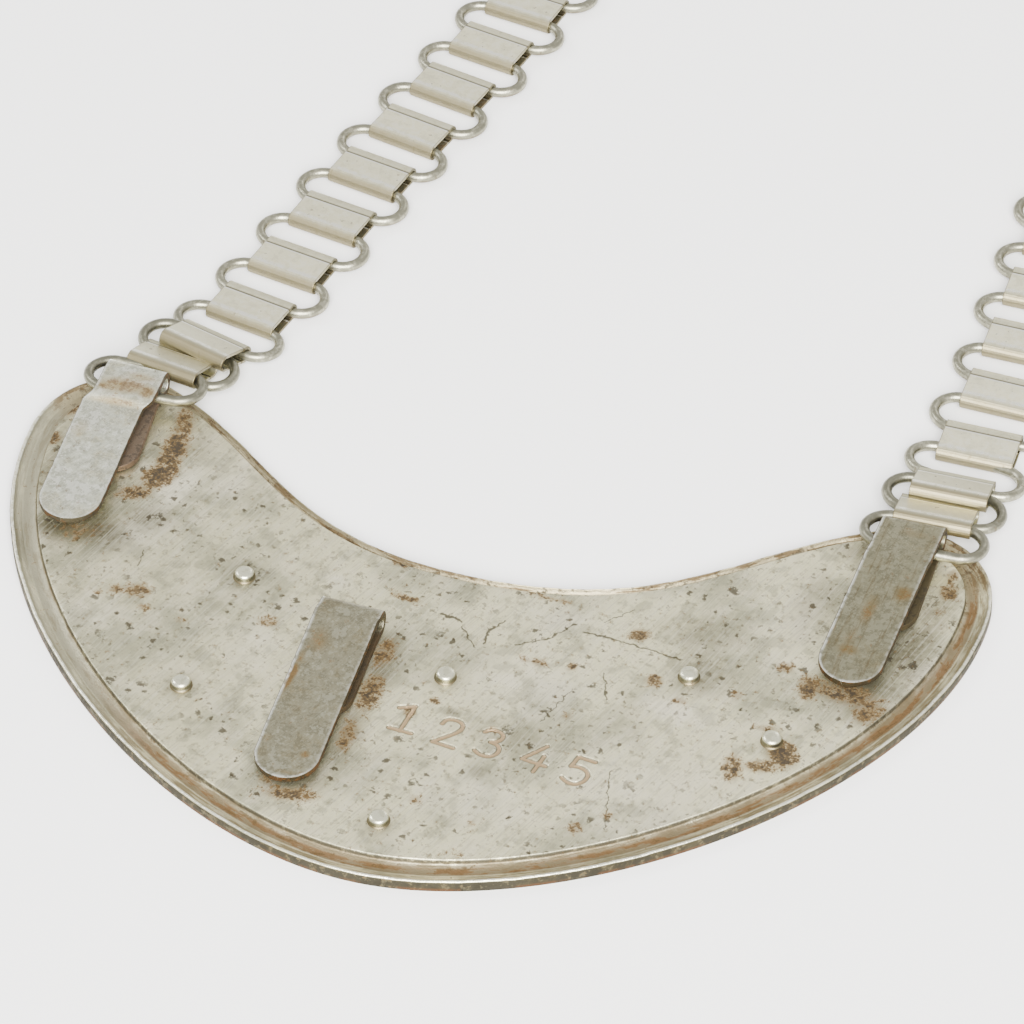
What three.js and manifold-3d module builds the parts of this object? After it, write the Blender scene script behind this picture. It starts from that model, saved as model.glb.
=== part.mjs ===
// A steel gorget lying face down: a kidney-shaped plate with its back up, three strip hooks and six
// stud pins on it, and the neck chain laid out flat as one loop from the left hook to the right one.
// Millimetres, +Z up, +X along the plate's width, +Y from the plate towards the far end of the chain.
import * as THREE from 'three';
import { mergeVertices } from 'three/addons/utils/BufferGeometryUtils.js';
import Module from 'manifold-3d';

const wasm = await Module();
wasm.setup();

// Clearance between neighbouring pieces
const GAP = 0.3;

// Plate outline
const PLATE_WIDTH = 155.2;
const PLATE_HEIGHT = 94;
const NECK_HEIGHT = 64.5;
const HORN_SPREAD = 126;
const WIDEST_HEIGHT = 78;

// Plate section, heights above the table that the rim's front face lies on
const FIELD_HEIGHT = 2.3;
const SHEET_THICKNESS = 1.2;
const LIP_HEIGHT = 2.05;
const CHANNEL_HEIGHT = 1.15;
const LEDGE_HEIGHT = 1.95;
const BORDER_WIDTH = 4.4;
const NECK_BORDER_WIDTH = 1.7;

// Hooks: a strip folded back on itself, its base leaf on the plate
const HOOK_WIDTH = 10;
const HOOK_STRIP = 1;
const HOOK_LENGTH = 36.4;
const HOOK_BASE_LENGTH = 22;
const HOOK_END_ROUND = 4.8;
const JOGGLE_LENGTH = 1.6;
const FOLD_STEPS = 8;
const END_STEPS = 10;

// Studs: a pin through the plate with a domed head on the back and a flat one on the front
const STUD_HEAD_RADIUS = 1.55;
const STUD_HEAD_HEIGHT = 1;
const STUD_RIM_HEIGHT = 0.65;
const STUD_PIN_RADIUS = 0.95;
const FRONT_HEAD_RADIUS = 1.9;
const FRONT_HEAD_HEIGHT = 0.5;
const STUD_SIDES = 10;
const HOLE_SIDES = 8;

// Chain: stadium rings of round wire held in links of folded sheet. RING_SPARE is the straight part of
// a ring's bar that shows at each side of a link. RING_SIDES is even but no multiple of four, so that
// a ring is flat where its bars run.
const WIRE_RADIUS = 0.86;
const WIRE_SIDES = 5;
const RING_SIDES = 10;
const RING_BAR_SPACING = 7.45;
const RING_SPARE = 0.58;
const LINK_WIDTH = 12.3;
const LINK_LENGTH = 8.6;
const LINK_SHEET = 0.5;
const LINK_CORNER = 0.64;
const WIRE_PLAY = 0.06;
const WIRE_BITE = 0.07;

// Bunched links next to each hook: the height of their middle over the plate's field, and their slope
const BUNCHED_RISE = 0.9;
const BUNCHED_TILT = 20;

// Chosen points of the chain's middle line on the table, each list measured from what it names: the
// far edge of a hook's fold, or the bottom of the plate for the free stretch between them
const CHAIN_ROUTE = [
  { from: 'hook_left', points: [[2.2, -4.9], [4.5, 4.8], [8.5, 11.2], [11.9, 22.6]] },
  {
    from: 'plate',
    points: [
      [-44.2, 154.3], [-33.4, 198], [-26.5, 236], [-22, 266], [-8, 298], [25, 313],
      [58, 298], [71.8, 266], [73, 236], [71.8, 190], [70.3, 150],
    ],
  },
  { from: 'hook_right', points: [[6.2, 33.6], [5, 21.4], [3.5, 11], [2.4, 4.7], [1.9, -5]] },
];

const halfWidth = PLATE_WIDTH / 2;
const halfSpread = HORN_SPREAD / 2;

// Outline of the right half, one cubic curve a row from the bottom to the neck, in shares of a box
// between named sizes: x from its left side to its right one, y from its low side to its high one
const SIDE = { left: 0, right: halfWidth, low: 0, high: WIDEST_HEIGHT };
const SHOULDER = { left: halfSpread, right: halfWidth, low: WIDEST_HEIGHT, high: PLATE_HEIGHT };
const NECK = { left: 0, right: halfSpread, low: NECK_HEIGHT, high: PLATE_HEIGHT };
const OUTLINE = [
  { box: SIDE, steps: 17, curve: [[0.43, 0], [1, 0.52], [1, 1]] },
  { box: SHOULDER, steps: 8, curve: [[1, 0.52], [0.66, 1], [0, 1]] },
  { box: NECK, steps: 7, curve: [[0.932, 1], [0.781, 0.785], [0.645, 0.545]] },
  { box: NECK, steps: 10, curve: [[0.466, 0.23], [0.313, 0], [0, 0]] },
];

// Plate section from the inner edge of the front face, round the rim, to the edge of the back field.
// inset is a share of the border's width, height is above the table.
const SECTION = [
  { inset: 0.94, height: FIELD_HEIGHT - SHEET_THICKNESS },
  { inset: 0.8, height: 0 },
  { inset: 0, height: 0 },
  { inset: 0, height: LIP_HEIGHT },
  { inset: 0.12, height: LIP_HEIGHT },
  { inset: 0.22, height: CHANNEL_HEIGHT },
  { inset: 0.72, height: CHANNEL_HEIGHT },
  { inset: 0.78, height: LEDGE_HEIGHT },
  { inset: 0.95, height: LEDGE_HEIGHT },
  { inset: 1, height: FIELD_HEIGHT },
];

// Hooks by the middle of their fold's far edge, as shares of half the width and of the height of the
// plate. turn is the whole hook's slant and skew the base leaf's slant from the top leaf, in degrees.
// level is how far the top leaf runs level from the fold, a share of its length. drop is the joggle
// that follows, a share of the strip, and tip is the height of the leaf's end, a share of the hook's.
const HOOKS = [
  { name: 'hook_left', x: -0.834, y: 0.985, turn: 0, skew: 5, level: 0.236, drop: 0.9, tip: 0.37 },
  { name: 'hook_centre', x: -0.196, y: 0.533, turn: 0, skew: 1, level: 0.071, drop: 0, tip: 0.08 },
  { name: 'hook_right', x: 0.808, y: 0.974, turn: -4.5, skew: 3, level: 0.236, drop: 0, tip: 0.28 },
];

// Studs, as shares of half the width and of the height of the plate
const STUDS = [
  { x: -0.44, y: 0.578 },
  { x: -0.463, y: 0.312 },
  { x: 0.009, y: 0.115 },
  { x: 0.022, y: 0.446 },
  { x: 0.475, y: 0.555 },
  { x: 0.67, y: 0.452 },
];

// Links next to a hook. step is a share of the pitch: the first from the bar in the hook, each other
// one from the link before it. The rest of the chain is spread evenly. left and right are how far the
// link turns from the route to stand square to the plate, at the left hook and at the right one.
const BUNCHED = [
  { step: 0.735, left: 0.5, right: 1, raised: true },
  { step: 0.51, left: 0.4, right: 0.95, raised: true },
  { step: 0.96, left: 0.1, right: 0.7, raised: false },
];

const frontHeight = FIELD_HEIGHT - SHEET_THICKNESS;
const hookBase = FIELD_HEIGHT + GAP;
const hookSlot = 2 * (WIRE_RADIUS + GAP);
const hookHeight = 2 * HOOK_STRIP + hookSlot;

// Distance between the middles of two links when the chain is taut
const linkPitch = RING_BAR_SPACING + LINK_LENGTH - 2 * (LINK_SHEET + WIRE_RADIUS);

// A wire rests on the floor of a link's slot, sunk in by the bite that makes ring and link one body
const wireDepth = WIRE_RADIUS * Math.sin((2 * Math.PI) / WIRE_SIDES) - WIRE_BITE;

function steel(name, color, roughness) {
  const material = new THREE.MeshStandardMaterial({ color, roughness, metalness: 0.9 });
  material.name = name;
  return material;
}

const PLATE_STEEL = steel('plate_steel', 0xaaa598, 0.48);
const HOOK_STEEL = steel('hook_steel', 0xa3a19a, 0.42);
const STUD_STEEL = steel('stud_steel', 0x9c988c, 0.4);
const CHAIN_STEEL = steel('chain_steel', 0xb9b5a6, 0.38);

// Closed three.js geometry to a solid, and back
function toSolid(geometry) {
  const bare = geometry.clone();
  bare.deleteAttribute('normal');
  bare.deleteAttribute('uv');
  const merged = mergeVertices(bare, 1e-4);
  return new wasm.Manifold(new wasm.Mesh({
    numProp: 3,
    vertProperties: new Float32Array(merged.attributes.position.array),
    triVerts: new Uint32Array(merged.index.array),
  }));
}

function toGeometry(solid) {
  const mesh = solid.getMesh();
  const geometry = new THREE.BufferGeometry();
  geometry.setAttribute('position', new THREE.BufferAttribute(mesh.vertProperties, 3));
  geometry.setIndex(new THREE.BufferAttribute(mesh.triVerts, 1));
  geometry.computeVertexNormals();
  return geometry;
}

function joinAll(solids) {
  return solids.reduce((whole, solid) => whole.add(solid));
}

function onPlate({ x, y }) {
  return new THREE.Vector3(x * halfWidth, y * PLATE_HEIGHT, 0);
}

function halfOutline() {
  const points = [];
  let start = new THREE.Vector2(0, 0);
  for (const { box, steps, curve } of OUTLINE) {
    const controls = curve.map(([x, y]) => new THREE.Vector2(
      THREE.MathUtils.lerp(box.left, box.right, x),
      THREE.MathUtils.lerp(box.low, box.high, y),
    ));
    points.push(...new THREE.CubicBezierCurve(start, ...controls).getSpacedPoints(steps).slice(0, -1));
    start = controls[2];
  }
  points.push(start);
  return points;
}

// The whole outline counterclockwise from the bottom. border is the border's width at each station:
// wide round the outside, narrow along the neck, blended over the horns.
function plateStations() {
  const right = halfOutline();
  const left = right.slice(1, -1).reverse().map((point) => new THREE.Vector2(-point.x, point.y));
  const outline = [...right, ...left];
  const outerSteps = OUTLINE[0].steps + OUTLINE[1].steps;
  const blendSteps = OUTLINE[2].steps;
  return outline.map((point, index) => {
    const next = outline[(index + 1) % outline.length];
    const last = outline[(index + outline.length - 1) % outline.length];
    const along = next.clone().sub(last).normalize();
    const fromBottom = Math.min(index, outline.length - index);
    const blend = THREE.MathUtils.smoothstep(fromBottom, outerSteps - blendSteps / 2, outerSteps + blendSteps);
    return {
      point,
      inward: new THREE.Vector2(-along.y, along.x),
      border: THREE.MathUtils.lerp(BORDER_WIDTH, NECK_BORDER_WIDTH, blend),
    };
  });
}

// The section swept round the outline and closed by the flat back field and the flat front face
function plateGeometry() {
  const stations = plateStations();
  const count = stations.length;
  const positions = [];
  for (const row of SECTION) {
    for (const { point, inward, border } of stations) {
      const place = point.clone().addScaledVector(inward, row.inset * border);
      positions.push(place.x, place.y, row.height);
    }
  }
  const triangles = [];
  for (let row = 0; row < SECTION.length - 1; row += 1) {
    for (let i = 0; i < count; i += 1) {
      const j = (i + 1) % count;
      const low = row * count;
      const high = low + count;
      triangles.push(low + i, low + j, high + j, low + i, high + j, high + i);
    }
  }
  const ringOf = (row) => Array.from({ length: count }, (_, i) => {
    const at = 3 * (row * count + i);
    return new THREE.Vector2(positions[at], positions[at + 1]);
  });
  const lastRow = SECTION.length - 1;
  for (const [a, b, c] of THREE.ShapeUtils.triangulateShape(ringOf(0), [])) {
    triangles.push(a, c, b);
  }
  for (const [a, b, c] of THREE.ShapeUtils.triangulateShape(ringOf(lastRow), [])) {
    triangles.push(lastRow * count + a, lastRow * count + b, lastRow * count + c);
  }
  const geometry = new THREE.BufferGeometry();
  geometry.setAttribute('position', new THREE.Float32BufferAttribute(positions, 3));
  geometry.setIndex(triangles);
  return geometry;
}

function plate() {
  let solid = toSolid(plateGeometry());
  const radius = STUD_PIN_RADIUS + GAP;
  for (const stud of STUDS) {
    const { x, y } = onPlate(stud);
    const hole = new THREE.CylinderGeometry(radius, radius, 3 * FIELD_HEIGHT, HOLE_SIDES);
    hole.rotateX(Math.PI / 2).translate(x, y, FIELD_HEIGHT);
    solid = solid.subtract(toSolid(hole));
  }
  return solid;
}

// Side outline of a hook in (length from the fold's far edge, height above its underside): the base
// leaf, the fold, and the top leaf that slopes down to its tip, after the joggle where it has one
function hookSide({ level, drop, tip }) {
  const outer = hookHeight / 2;
  const inner = hookSlot / 2;
  const arc = (radius) => Array.from({ length: FOLD_STEPS + 1 }, (_, i) => {
    const angle = Math.PI * (0.5 + i / FOLD_STEPS);
    return [outer + radius * Math.cos(angle), outer + radius * Math.sin(angle)];
  });
  const levelEnd = level * HOOK_LENGTH;
  const joggle = drop > 0 ? [[levelEnd + JOGGLE_LENGTH, hookHeight - drop * HOOK_STRIP]] : [];
  const upper = [[levelEnd, hookHeight], ...joggle, [HOOK_LENGTH, tip * hookHeight + HOOK_STRIP]];
  const under = upper.map(([length, height]) => [length, height - HOOK_STRIP]);
  return [
    ...upper.reverse(),
    ...arc(outer),
    [HOOK_BASE_LENGTH, 0],
    [HOOK_BASE_LENGTH, HOOK_STRIP],
    ...arc(inner).reverse(),
    ...under,
  ];
}

// Plan outline of one leaf from just past the fold to its rounded end, slanted by a skew angle
function leafPlan(length, skew) {
  const half = HOOK_WIDTH / 2;
  const slant = Math.tan(THREE.MathUtils.degToRad(skew));
  const shape = new THREE.Shape();
  shape.moveTo(half, HOOK_STRIP);
  shape.lineTo(-half, HOOK_STRIP);
  for (let i = 0; i <= END_STEPS; i += 1) {
    const angle = Math.PI * (i / END_STEPS);
    const down = length - HOOK_END_ROUND + HOOK_END_ROUND * Math.sin(angle);
    shape.lineTo(-half * Math.cos(angle) + slant * down, -down);
  }
  return shape;
}

// The strip's side outline drawn out sideways, cut to the plan of the base leaf below the middle of
// the fold and to the plan of the top leaf above it
function hook(spec) {
  const side = new THREE.Shape(hookSide(spec).map(([length, height]) => new THREE.Vector2(-length, height)));
  const band = new THREE.ExtrudeGeometry(side, { depth: 2 * HOOK_WIDTH, bevelEnabled: false });
  band.rotateX(Math.PI / 2).rotateZ(Math.PI / 2).translate(-HOOK_WIDTH, 0, 0);
  const level = hookHeight / 2;
  const whole = { depth: hookHeight, bevelEnabled: false };
  const base = new THREE.ExtrudeGeometry(leafPlan(HOOK_BASE_LENGTH, spec.skew), whole);
  const top = new THREE.ExtrudeGeometry(leafPlan(HOOK_LENGTH, 0), whole);
  base.translate(0, 0, level - hookHeight);
  top.translate(0, 0, level);
  const low = toSolid(band).intersect(toSolid(base));
  const high = toSolid(band).intersect(toSolid(top));
  const place = new THREE.Matrix4().makeRotationZ(THREE.MathUtils.degToRad(spec.turn));
  place.setPosition(onPlate(spec).setZ(hookBase));
  return toSolid(toGeometry(low.add(high)).applyMatrix4(place));
}

function studGeometry(stud) {
  const { x, y } = onPlate(stud);
  const backSeat = FIELD_HEIGHT + GAP;
  const frontSeat = frontHeight - GAP;
  const profile = [
    [0, frontSeat - FRONT_HEAD_HEIGHT],
    [FRONT_HEAD_RADIUS, frontSeat - FRONT_HEAD_HEIGHT],
    [FRONT_HEAD_RADIUS, frontSeat],
    [STUD_PIN_RADIUS, frontSeat],
    [STUD_PIN_RADIUS, backSeat],
    [STUD_HEAD_RADIUS, backSeat],
    [STUD_HEAD_RADIUS, backSeat + STUD_RIM_HEIGHT],
    [0, backSeat + STUD_HEAD_HEIGHT],
  ].map(([radius, height]) => new THREE.Vector2(radius, height));
  return new THREE.LatheGeometry(profile, STUD_SIDES).rotateX(Math.PI / 2).translate(x, y, 0);
}

// A ring of the chain round the origin, its bars along X: a round ring pulled apart at its middle
function ringGeometry() {
  const bend = RING_BAR_SPACING / 2 / Math.cos(Math.PI / RING_SIDES);
  const pull = LINK_WIDTH / 2 + RING_SPARE - bend * Math.sin(Math.PI / RING_SIDES);
  const geometry = new THREE.TorusGeometry(bend, WIRE_RADIUS, WIRE_SIDES, RING_SIDES);
  const position = geometry.attributes.position;
  for (let i = 0; i < position.count; i += 1) {
    position.setX(i, position.getX(i) + Math.sign(position.getX(i)) * pull);
  }
  return geometry;
}

// A folded sheet link round the origin, its slot along X, open at both sides. room is the play of the
// wire above and below, and a roomier link is longer by as much at each end.
function linkGeometry(room) {
  const slot = WIRE_RADIUS + room;
  const half = slot + LINK_SHEET;
  const end = LINK_LENGTH / 2 + room - WIRE_PLAY;
  const inside = end - LINK_SHEET;
  const side = end - LINK_CORNER;
  const rise = half - LINK_CORNER;
  const shape = new THREE.Shape([
    [side, -half], [end, -rise], [end, rise], [side, half],
    [-side, half], [-end, rise], [-end, -rise], [-side, -half],
  ].map(([y, z]) => new THREE.Vector2(y, z)));
  shape.holes.push(new THREE.Path([
    [inside, -slot], [-inside, -slot], [-inside, slot], [inside, slot],
  ].map(([y, z]) => new THREE.Vector2(y, z))));
  const geometry = new THREE.ExtrudeGeometry(shape, { depth: LINK_WIDTH, bevelEnabled: false });
  return geometry.translate(0, 0, -LINK_WIDTH / 2).rotateY(Math.PI / 2).rotateX(Math.PI / 2);
}

// Frame of a piece whose length runs along a direction: X level across the chain, Y along it
function laidAlong(centre, along) {
  const across = new THREE.Vector3(along.y, -along.x, 0).normalize();
  const up = new THREE.Vector3().crossVectors(across, along);
  return new THREE.Matrix4().makeBasis(across, along, up).setPosition(centre);
}

// Distances of the sheet links along the route: bunched at both hooks, and between them even along the
// outer edge of each bend, where the chain is taut
function linkDistances(route, length) {
  const near = [];
  BUNCHED.reduce((sum, { step }) => {
    near.push((sum + step) * linkPitch);
    return sum + step;
  }, 0);
  const start = near[near.length - 1];
  const steps = 2 * Math.round(length);
  const stepLength = (length - 2 * start) / steps;
  const edge = [0];
  for (let i = 1; i <= steps; i += 1) {
    const before = route.getTangentAt((start + (i - 1) * stepLength) / length);
    const bend = route.getTangentAt((start + i * stepLength) / length).angleTo(before);
    edge.push(edge[i - 1] + stepLength + (LINK_WIDTH / 2) * bend);
  }
  const count = Math.round(edge[steps] / linkPitch);
  const even = Array.from({ length: count - 1 }, (_, i) => {
    const wanted = ((i + 1) / count) * edge[steps];
    const after = edge.findIndex((reached) => reached >= wanted);
    return start + stepLength * (after - (edge[after] - wanted) / (edge[after] - edge[after - 1]));
  });
  return [...near, ...even, ...near.map((distance) => length - distance).reverse()];
}

// Each sheet link's centre, direction, room and frame. The bunched ones stand higher and slope down
// from the hook. The middle one has a clear slot, where the two halves of the chain meet.
function chainLinks(route, length) {
  const distances = linkDistances(route, length);
  const last = distances.length - 1;
  const join = Math.floor(last / 2);
  const evenLink = { left: 0, right: 0, raised: false };
  return distances.map((distance, index) => {
    const { left, right, raised } = BUNCHED[Math.min(index, last - index)] ?? evenLink;
    const away = index <= join ? 1 : -1;
    const square = index <= join ? left : right;
    const spot = route.getPointAt(distance / length);
    const along = route.getTangentAt(distance / length).lerp(new THREE.Vector3(0, away, 0), square).normalize();
    const fall = THREE.MathUtils.degToRad(raised ? BUNCHED_TILT : 0) * -away;
    const room = index === join ? GAP : WIRE_PLAY;
    spot.z = raised ? FIELD_HEIGHT + BUNCHED_RISE : WIRE_RADIUS + room + LINK_SHEET;
    along.multiplyScalar(Math.cos(fall)).setZ(Math.sin(fall));
    return { spot, along, room, frame: laidAlong(spot, along) };
  });
}

// Middle of a bar in a link: a distance along it, on the slot's floor or, where it is clear, mid-slot
function barInLink(link, distance, clear = false) {
  const drop = clear ? 0 : WIRE_RADIUS + link.room - wireDepth;
  return new THREE.Vector3(0, distance, -drop).applyMatrix4(link.frame);
}

// The bars of a ring that lies in a hook, the hook's bar first. The ring stands square to the plate at
// the route's end, with one bar level with the middle of the hook's slot.
function hookRingBars(end, link, distance) {
  const height = hookBase + hookHeight / 2;
  const outer = barInLink(link, distance).setX(end.x);
  const reach = Math.sqrt(RING_BAR_SPACING ** 2 - (outer.z - height) ** 2);
  return [new THREE.Vector3(end.x, outer.y - reach, height), outer];
}

// The two bars of each ring, from the ring in the left hook to the one in the right hook
function ringBars(route, links) {
  const reach = LINK_LENGTH / 2 - LINK_SHEET - WIRE_RADIUS;
  const between = links.slice(1).map((link, index) => {
    const before = links[index];
    const slack = (before.spot.distanceTo(link.spot) - RING_BAR_SPACING) / 2;
    return [barInLink(before, slack, before.room === GAP), barInLink(link, -slack)];
  });
  return [
    hookRingBars(route.getPointAt(0), links[0], -reach),
    ...between,
    hookRingBars(route.getPointAt(1), links[links.length - 1], reach).reverse(),
  ];
}

// The route's points as one smooth curve on the table
function chainRoute() {
  const spots = CHAIN_ROUTE.flatMap(({ from, points }) => {
    const start = onPlate(HOOKS.find(({ name }) => name === from) ?? { x: 0, y: 0 });
    return points.map(([x, y]) => new THREE.Vector3(start.x + x, start.y + y, 0));
  });
  const route = new THREE.CatmullRomCurve3(spots);
  route.arcLengthDivisions = 2000;
  return route;
}

// The chain as two bodies: up to the link with the clear slot, and from the ring that runs through
// that slot without touching it
function chainHalves() {
  const route = chainRoute();
  const links = chainLinks(route, route.getLength());
  const join = links.findIndex((link) => link.room === GAP);
  const rings = ringBars(route, links).map(([near, far]) => {
    const along = far.clone().sub(near).normalize();
    const frame = laidAlong(near.clone().add(far).multiplyScalar(0.5), along);
    return toSolid(ringGeometry().applyMatrix4(frame));
  });
  const folded = links.map(({ room, frame }) => toSolid(linkGeometry(room).applyMatrix4(frame)));
  return [
    joinAll([...rings.slice(0, join + 1), ...folded.slice(0, join + 1)]),
    joinAll([...rings.slice(join + 1), ...folded.slice(join + 1)]),
  ];
}

function mesh(name, geometry, material) {
  const piece = new THREE.Mesh(geometry, material);
  piece.name = name;
  return piece;
}

const gorget = new THREE.Group();
gorget.add(mesh('plate', toGeometry(plate()), PLATE_STEEL));
for (const spec of HOOKS) {
  gorget.add(mesh(spec.name, toGeometry(hook(spec)), HOOK_STEEL));
}
STUDS.forEach((spec, index) => {
  gorget.add(mesh(`stud_${index + 1}`, toGeometry(toSolid(studGeometry(spec))), STUD_STEEL));
});
const [leftChain, rightChain] = chainHalves();
gorget.add(mesh('chain_left', toGeometry(leftChain), CHAIN_STEEL));
gorget.add(mesh('chain_right', toGeometry(rightChain), CHAIN_STEEL));

// The origin is on the table under the middle of the whole laid-out gorget
const bounds = new THREE.Box3().setFromObject(gorget);
const middle = bounds.getCenter(new THREE.Vector3());
gorget.position.set(-middle.x, -middle.y, 0);

export default gorget;
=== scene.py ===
"""A worn steel gorget lying face down: a kidney-shaped plate with its back up, three strip hooks, six
studs, stamped counting digits, and the neck chain laid out in one loop.

Sizes are in millimetres in plate coordinates: X across from the middle of the plate, Y up from its
bottom edge, Z above the table. They become metres in the frame when a mesh is made.
"""

import bisect
import math
import random

import bmesh
import bpy
import numpy as np
from mathutils import Matrix, Vector, noise
from mathutils.geometry import delaunay_2d_cdt


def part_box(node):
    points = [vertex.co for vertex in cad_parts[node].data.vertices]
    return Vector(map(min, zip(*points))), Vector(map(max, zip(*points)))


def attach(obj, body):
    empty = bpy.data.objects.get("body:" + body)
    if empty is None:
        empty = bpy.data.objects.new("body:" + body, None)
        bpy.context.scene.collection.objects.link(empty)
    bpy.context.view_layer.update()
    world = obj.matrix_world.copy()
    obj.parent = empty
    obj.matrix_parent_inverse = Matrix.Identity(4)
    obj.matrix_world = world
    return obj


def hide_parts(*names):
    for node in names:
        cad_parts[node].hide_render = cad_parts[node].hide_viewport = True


MM = 0.001

# Camera: the picture's width, and the lens's focal length in the same pixels
PICTURE_PIXELS = 1024
FOCAL_PIXELS = 5000

# Plate
PLATE_WIDTH = 155.2
PLATE_HEIGHT = 94.0
NECK_HEIGHT = 64.5
HORN_SPREAD = 126.0
WIDEST_HEIGHT = 78.0
FIELD_HEIGHT = 2.3
SHEET_THICKNESS = 1.2
BORDER_WIDTH = 4.4
NECK_BORDER_WIDTH = 1.7
OUTLINE_SPACING = 0.45
FIELD_SPACING = 1.15

# Hooks
HOOK_WIDTH = 10.0
HOOK_STRIP = 1.0
HOOK_LENGTH = 36.4
HOOK_BASE_LENGTH = 22.0
HOOK_END_ROUND = 4.8
JOGGLE_LENGTH = 1.6

# Studs
STUD_RADIUS = 1.5
STUD_HEIGHT = 1.3
STUD_FOOT_RADIUS = 1.72
FRONT_HEAD_RADIUS = 1.9
FRONT_HEAD_HEIGHT = 0.5

# Chain
WIRE_RADIUS = 0.86
RING_BAR_SPACING = 7.45
RING_SPARE = 0.58
LINK_WIDTH = 12.3
LINK_LENGTH = 8.6
LINK_SHEET = 0.5
SEAM_SHARE = 0.2
WIRE_PLAY = 0.06
JOIN_PLAY = 0.3
BUNCHED_RISE = 0.9
BUNCHED_TILT = 20.0

# Chosen points of the chain's middle line, each list measured from the far edge of a hook's fold, or
# from the bottom of the plate for the free stretch between them
CHAIN_ROUTE = (
    ("hook_left", ((2.2, -4.9), (4.5, 4.8), (8.5, 11.2), (11.9, 22.6))),
    (
        "plate",
        (
            (-44.2, 154.3),
            (-33.4, 198),
            (-26.5, 236),
            (-22, 266),
            (-8, 298),
            (25, 313),
            (58, 298),
            (71.8, 266),
            (73, 236),
            (71.8, 190),
            (70.3, 150),
        ),
    ),
    ("hook_right", ((6.2, 33.6), (5, 21.4), (3.5, 11), (2.4, 4.7), (1.9, -5))),
)

# Links next to a hook: step as a share of the pitch, how far the link turns square to the plate by the
# left hook and by the right one, and whether it is raised and slopes
BUNCHED = ((0.735, 0.5, 1, True), (0.51, 0.4, 0.95, True), (0.96, 0.1, 0.7, False))

# Hooks: middle of the fold's far edge as shares of half the width and of the height of the plate,
# slant of the whole hook and of its base leaf in degrees, then the level stretch as a share of the
# length, the joggle as a share of the strip and the tip's height as a share of the hook's height
HOOKS = {
    "hook_left": (-0.834, 0.985, 0.0, 5.0, 0.236, 0.9, 0.37),
    "hook_centre": (-0.196, 0.533, 0.0, 1.0, 0.071, 0.0, 0.08),
    "hook_right": (0.808, 0.974, -4.5, 3.0, 0.236, 0.0, 0.28),
}

# How each hook is bent out of true: the slant of its fold in degrees, and its sideways shift at the
# fold, after the joggle and at the tip
HOOK_SHIFTS = {
    "hook_left": (-3.4, 0.8, -0.4, 0.2),
    "hook_centre": (-3.0, 0.25, 0.0, -0.45),
    "hook_right": (4.7, 0.2, 0.0, -0.3),
}

STUDS = (
    (-0.44, 0.578),
    (-0.463, 0.312),
    (0.009, 0.115),
    (0.022, 0.446),
    (0.475, 0.555),
    (0.67, 0.452),
)

half_width = PLATE_WIDTH / 2
half_spread = HORN_SPREAD / 2
hook_slot = 2 * (WIRE_RADIUS + 0.3)
hook_height = 2 * HOOK_STRIP + hook_slot
hook_base = FIELD_HEIGHT + 0.3
link_pitch = RING_BAR_SPACING + LINK_LENGTH - 2 * (LINK_SHEET + WIRE_RADIUS)

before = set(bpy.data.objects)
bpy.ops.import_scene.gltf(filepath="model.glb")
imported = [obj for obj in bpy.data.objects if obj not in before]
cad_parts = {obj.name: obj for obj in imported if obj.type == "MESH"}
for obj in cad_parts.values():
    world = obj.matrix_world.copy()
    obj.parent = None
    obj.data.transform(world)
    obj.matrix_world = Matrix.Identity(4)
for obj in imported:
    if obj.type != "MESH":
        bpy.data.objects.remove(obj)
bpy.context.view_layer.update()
plate_low, plate_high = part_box("plate")
ORIGIN = Vector(((plate_low[0] + plate_high[0]) / 2, plate_low[1], 0.0))


def to_frame(point):
    return ORIGIN + Vector(point) * MM


def lerp(a, b, t):
    return a + (b - a) * t


def smooth(low, high, value):
    t = min(max((value - low) / (high - low), 0.0), 1.0)
    return t * t * (3 - 2 * t)


def on_plate(x, y):
    return x * half_width, y * PLATE_HEIGHT


def mesh_object(name, vertices, faces, material=None):
    """A mesh of millimetre vertices as an object in the frame, its faces turned outwards."""
    mesh = bpy.data.meshes.new(name)
    mesh.from_pydata([to_frame(v) for v in vertices], [], faces)
    body = bmesh.new()
    body.from_mesh(mesh)
    bmesh.ops.recalc_face_normals(body, faces=body.faces)
    body.to_mesh(mesh)
    body.free()
    mesh.shade_smooth()
    obj = bpy.data.objects.new(name, mesh)
    bpy.context.scene.collection.objects.link(obj)
    if material:
        mesh.materials.append(material)
    return obj


def paint(obj, name, values):
    """Stores one number for each vertex as an attribute that the materials read."""
    layer = obj.data.attributes.new(name, "FLOAT", "POINT")
    layer.data.foreach_set("value", values)


# Shader nodes


class Value:
    """One output of a tree's nodes, with arithmetic that adds Math nodes."""

    def __init__(self, nodes, socket):
        self.nodes = nodes
        self.socket = socket

    def math(self, operation, *others):
        return self.nodes.node("ShaderNodeMath", {"operation": operation}, self, *others)

    def __add__(self, other):
        return self.math("ADD", other)

    def __sub__(self, other):
        return self.math("SUBTRACT", other)

    def __mul__(self, other):
        return self.math("MULTIPLY", other)

    def __rsub__(self, other):
        return self.nodes.node("ShaderNodeMath", {"operation": "SUBTRACT"}, other, self)

    __radd__ = __add__
    __rmul__ = __mul__

    def least(self, other):
        return self.math("MINIMUM", other)

    def size(self):
        return self.math("ABSOLUTE")

    def clamp(self):
        return self.nodes.node("ShaderNodeClamp", {}, self)

    def between(self, low, high, start=0.0, end=1.0):
        """Smooth step from start to end while the value goes from low to high."""
        settings = {"interpolation_type": "SMOOTHSTEP"}
        return self.nodes.node("ShaderNodeMapRange", settings, self, low, high, start, end)


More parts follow.
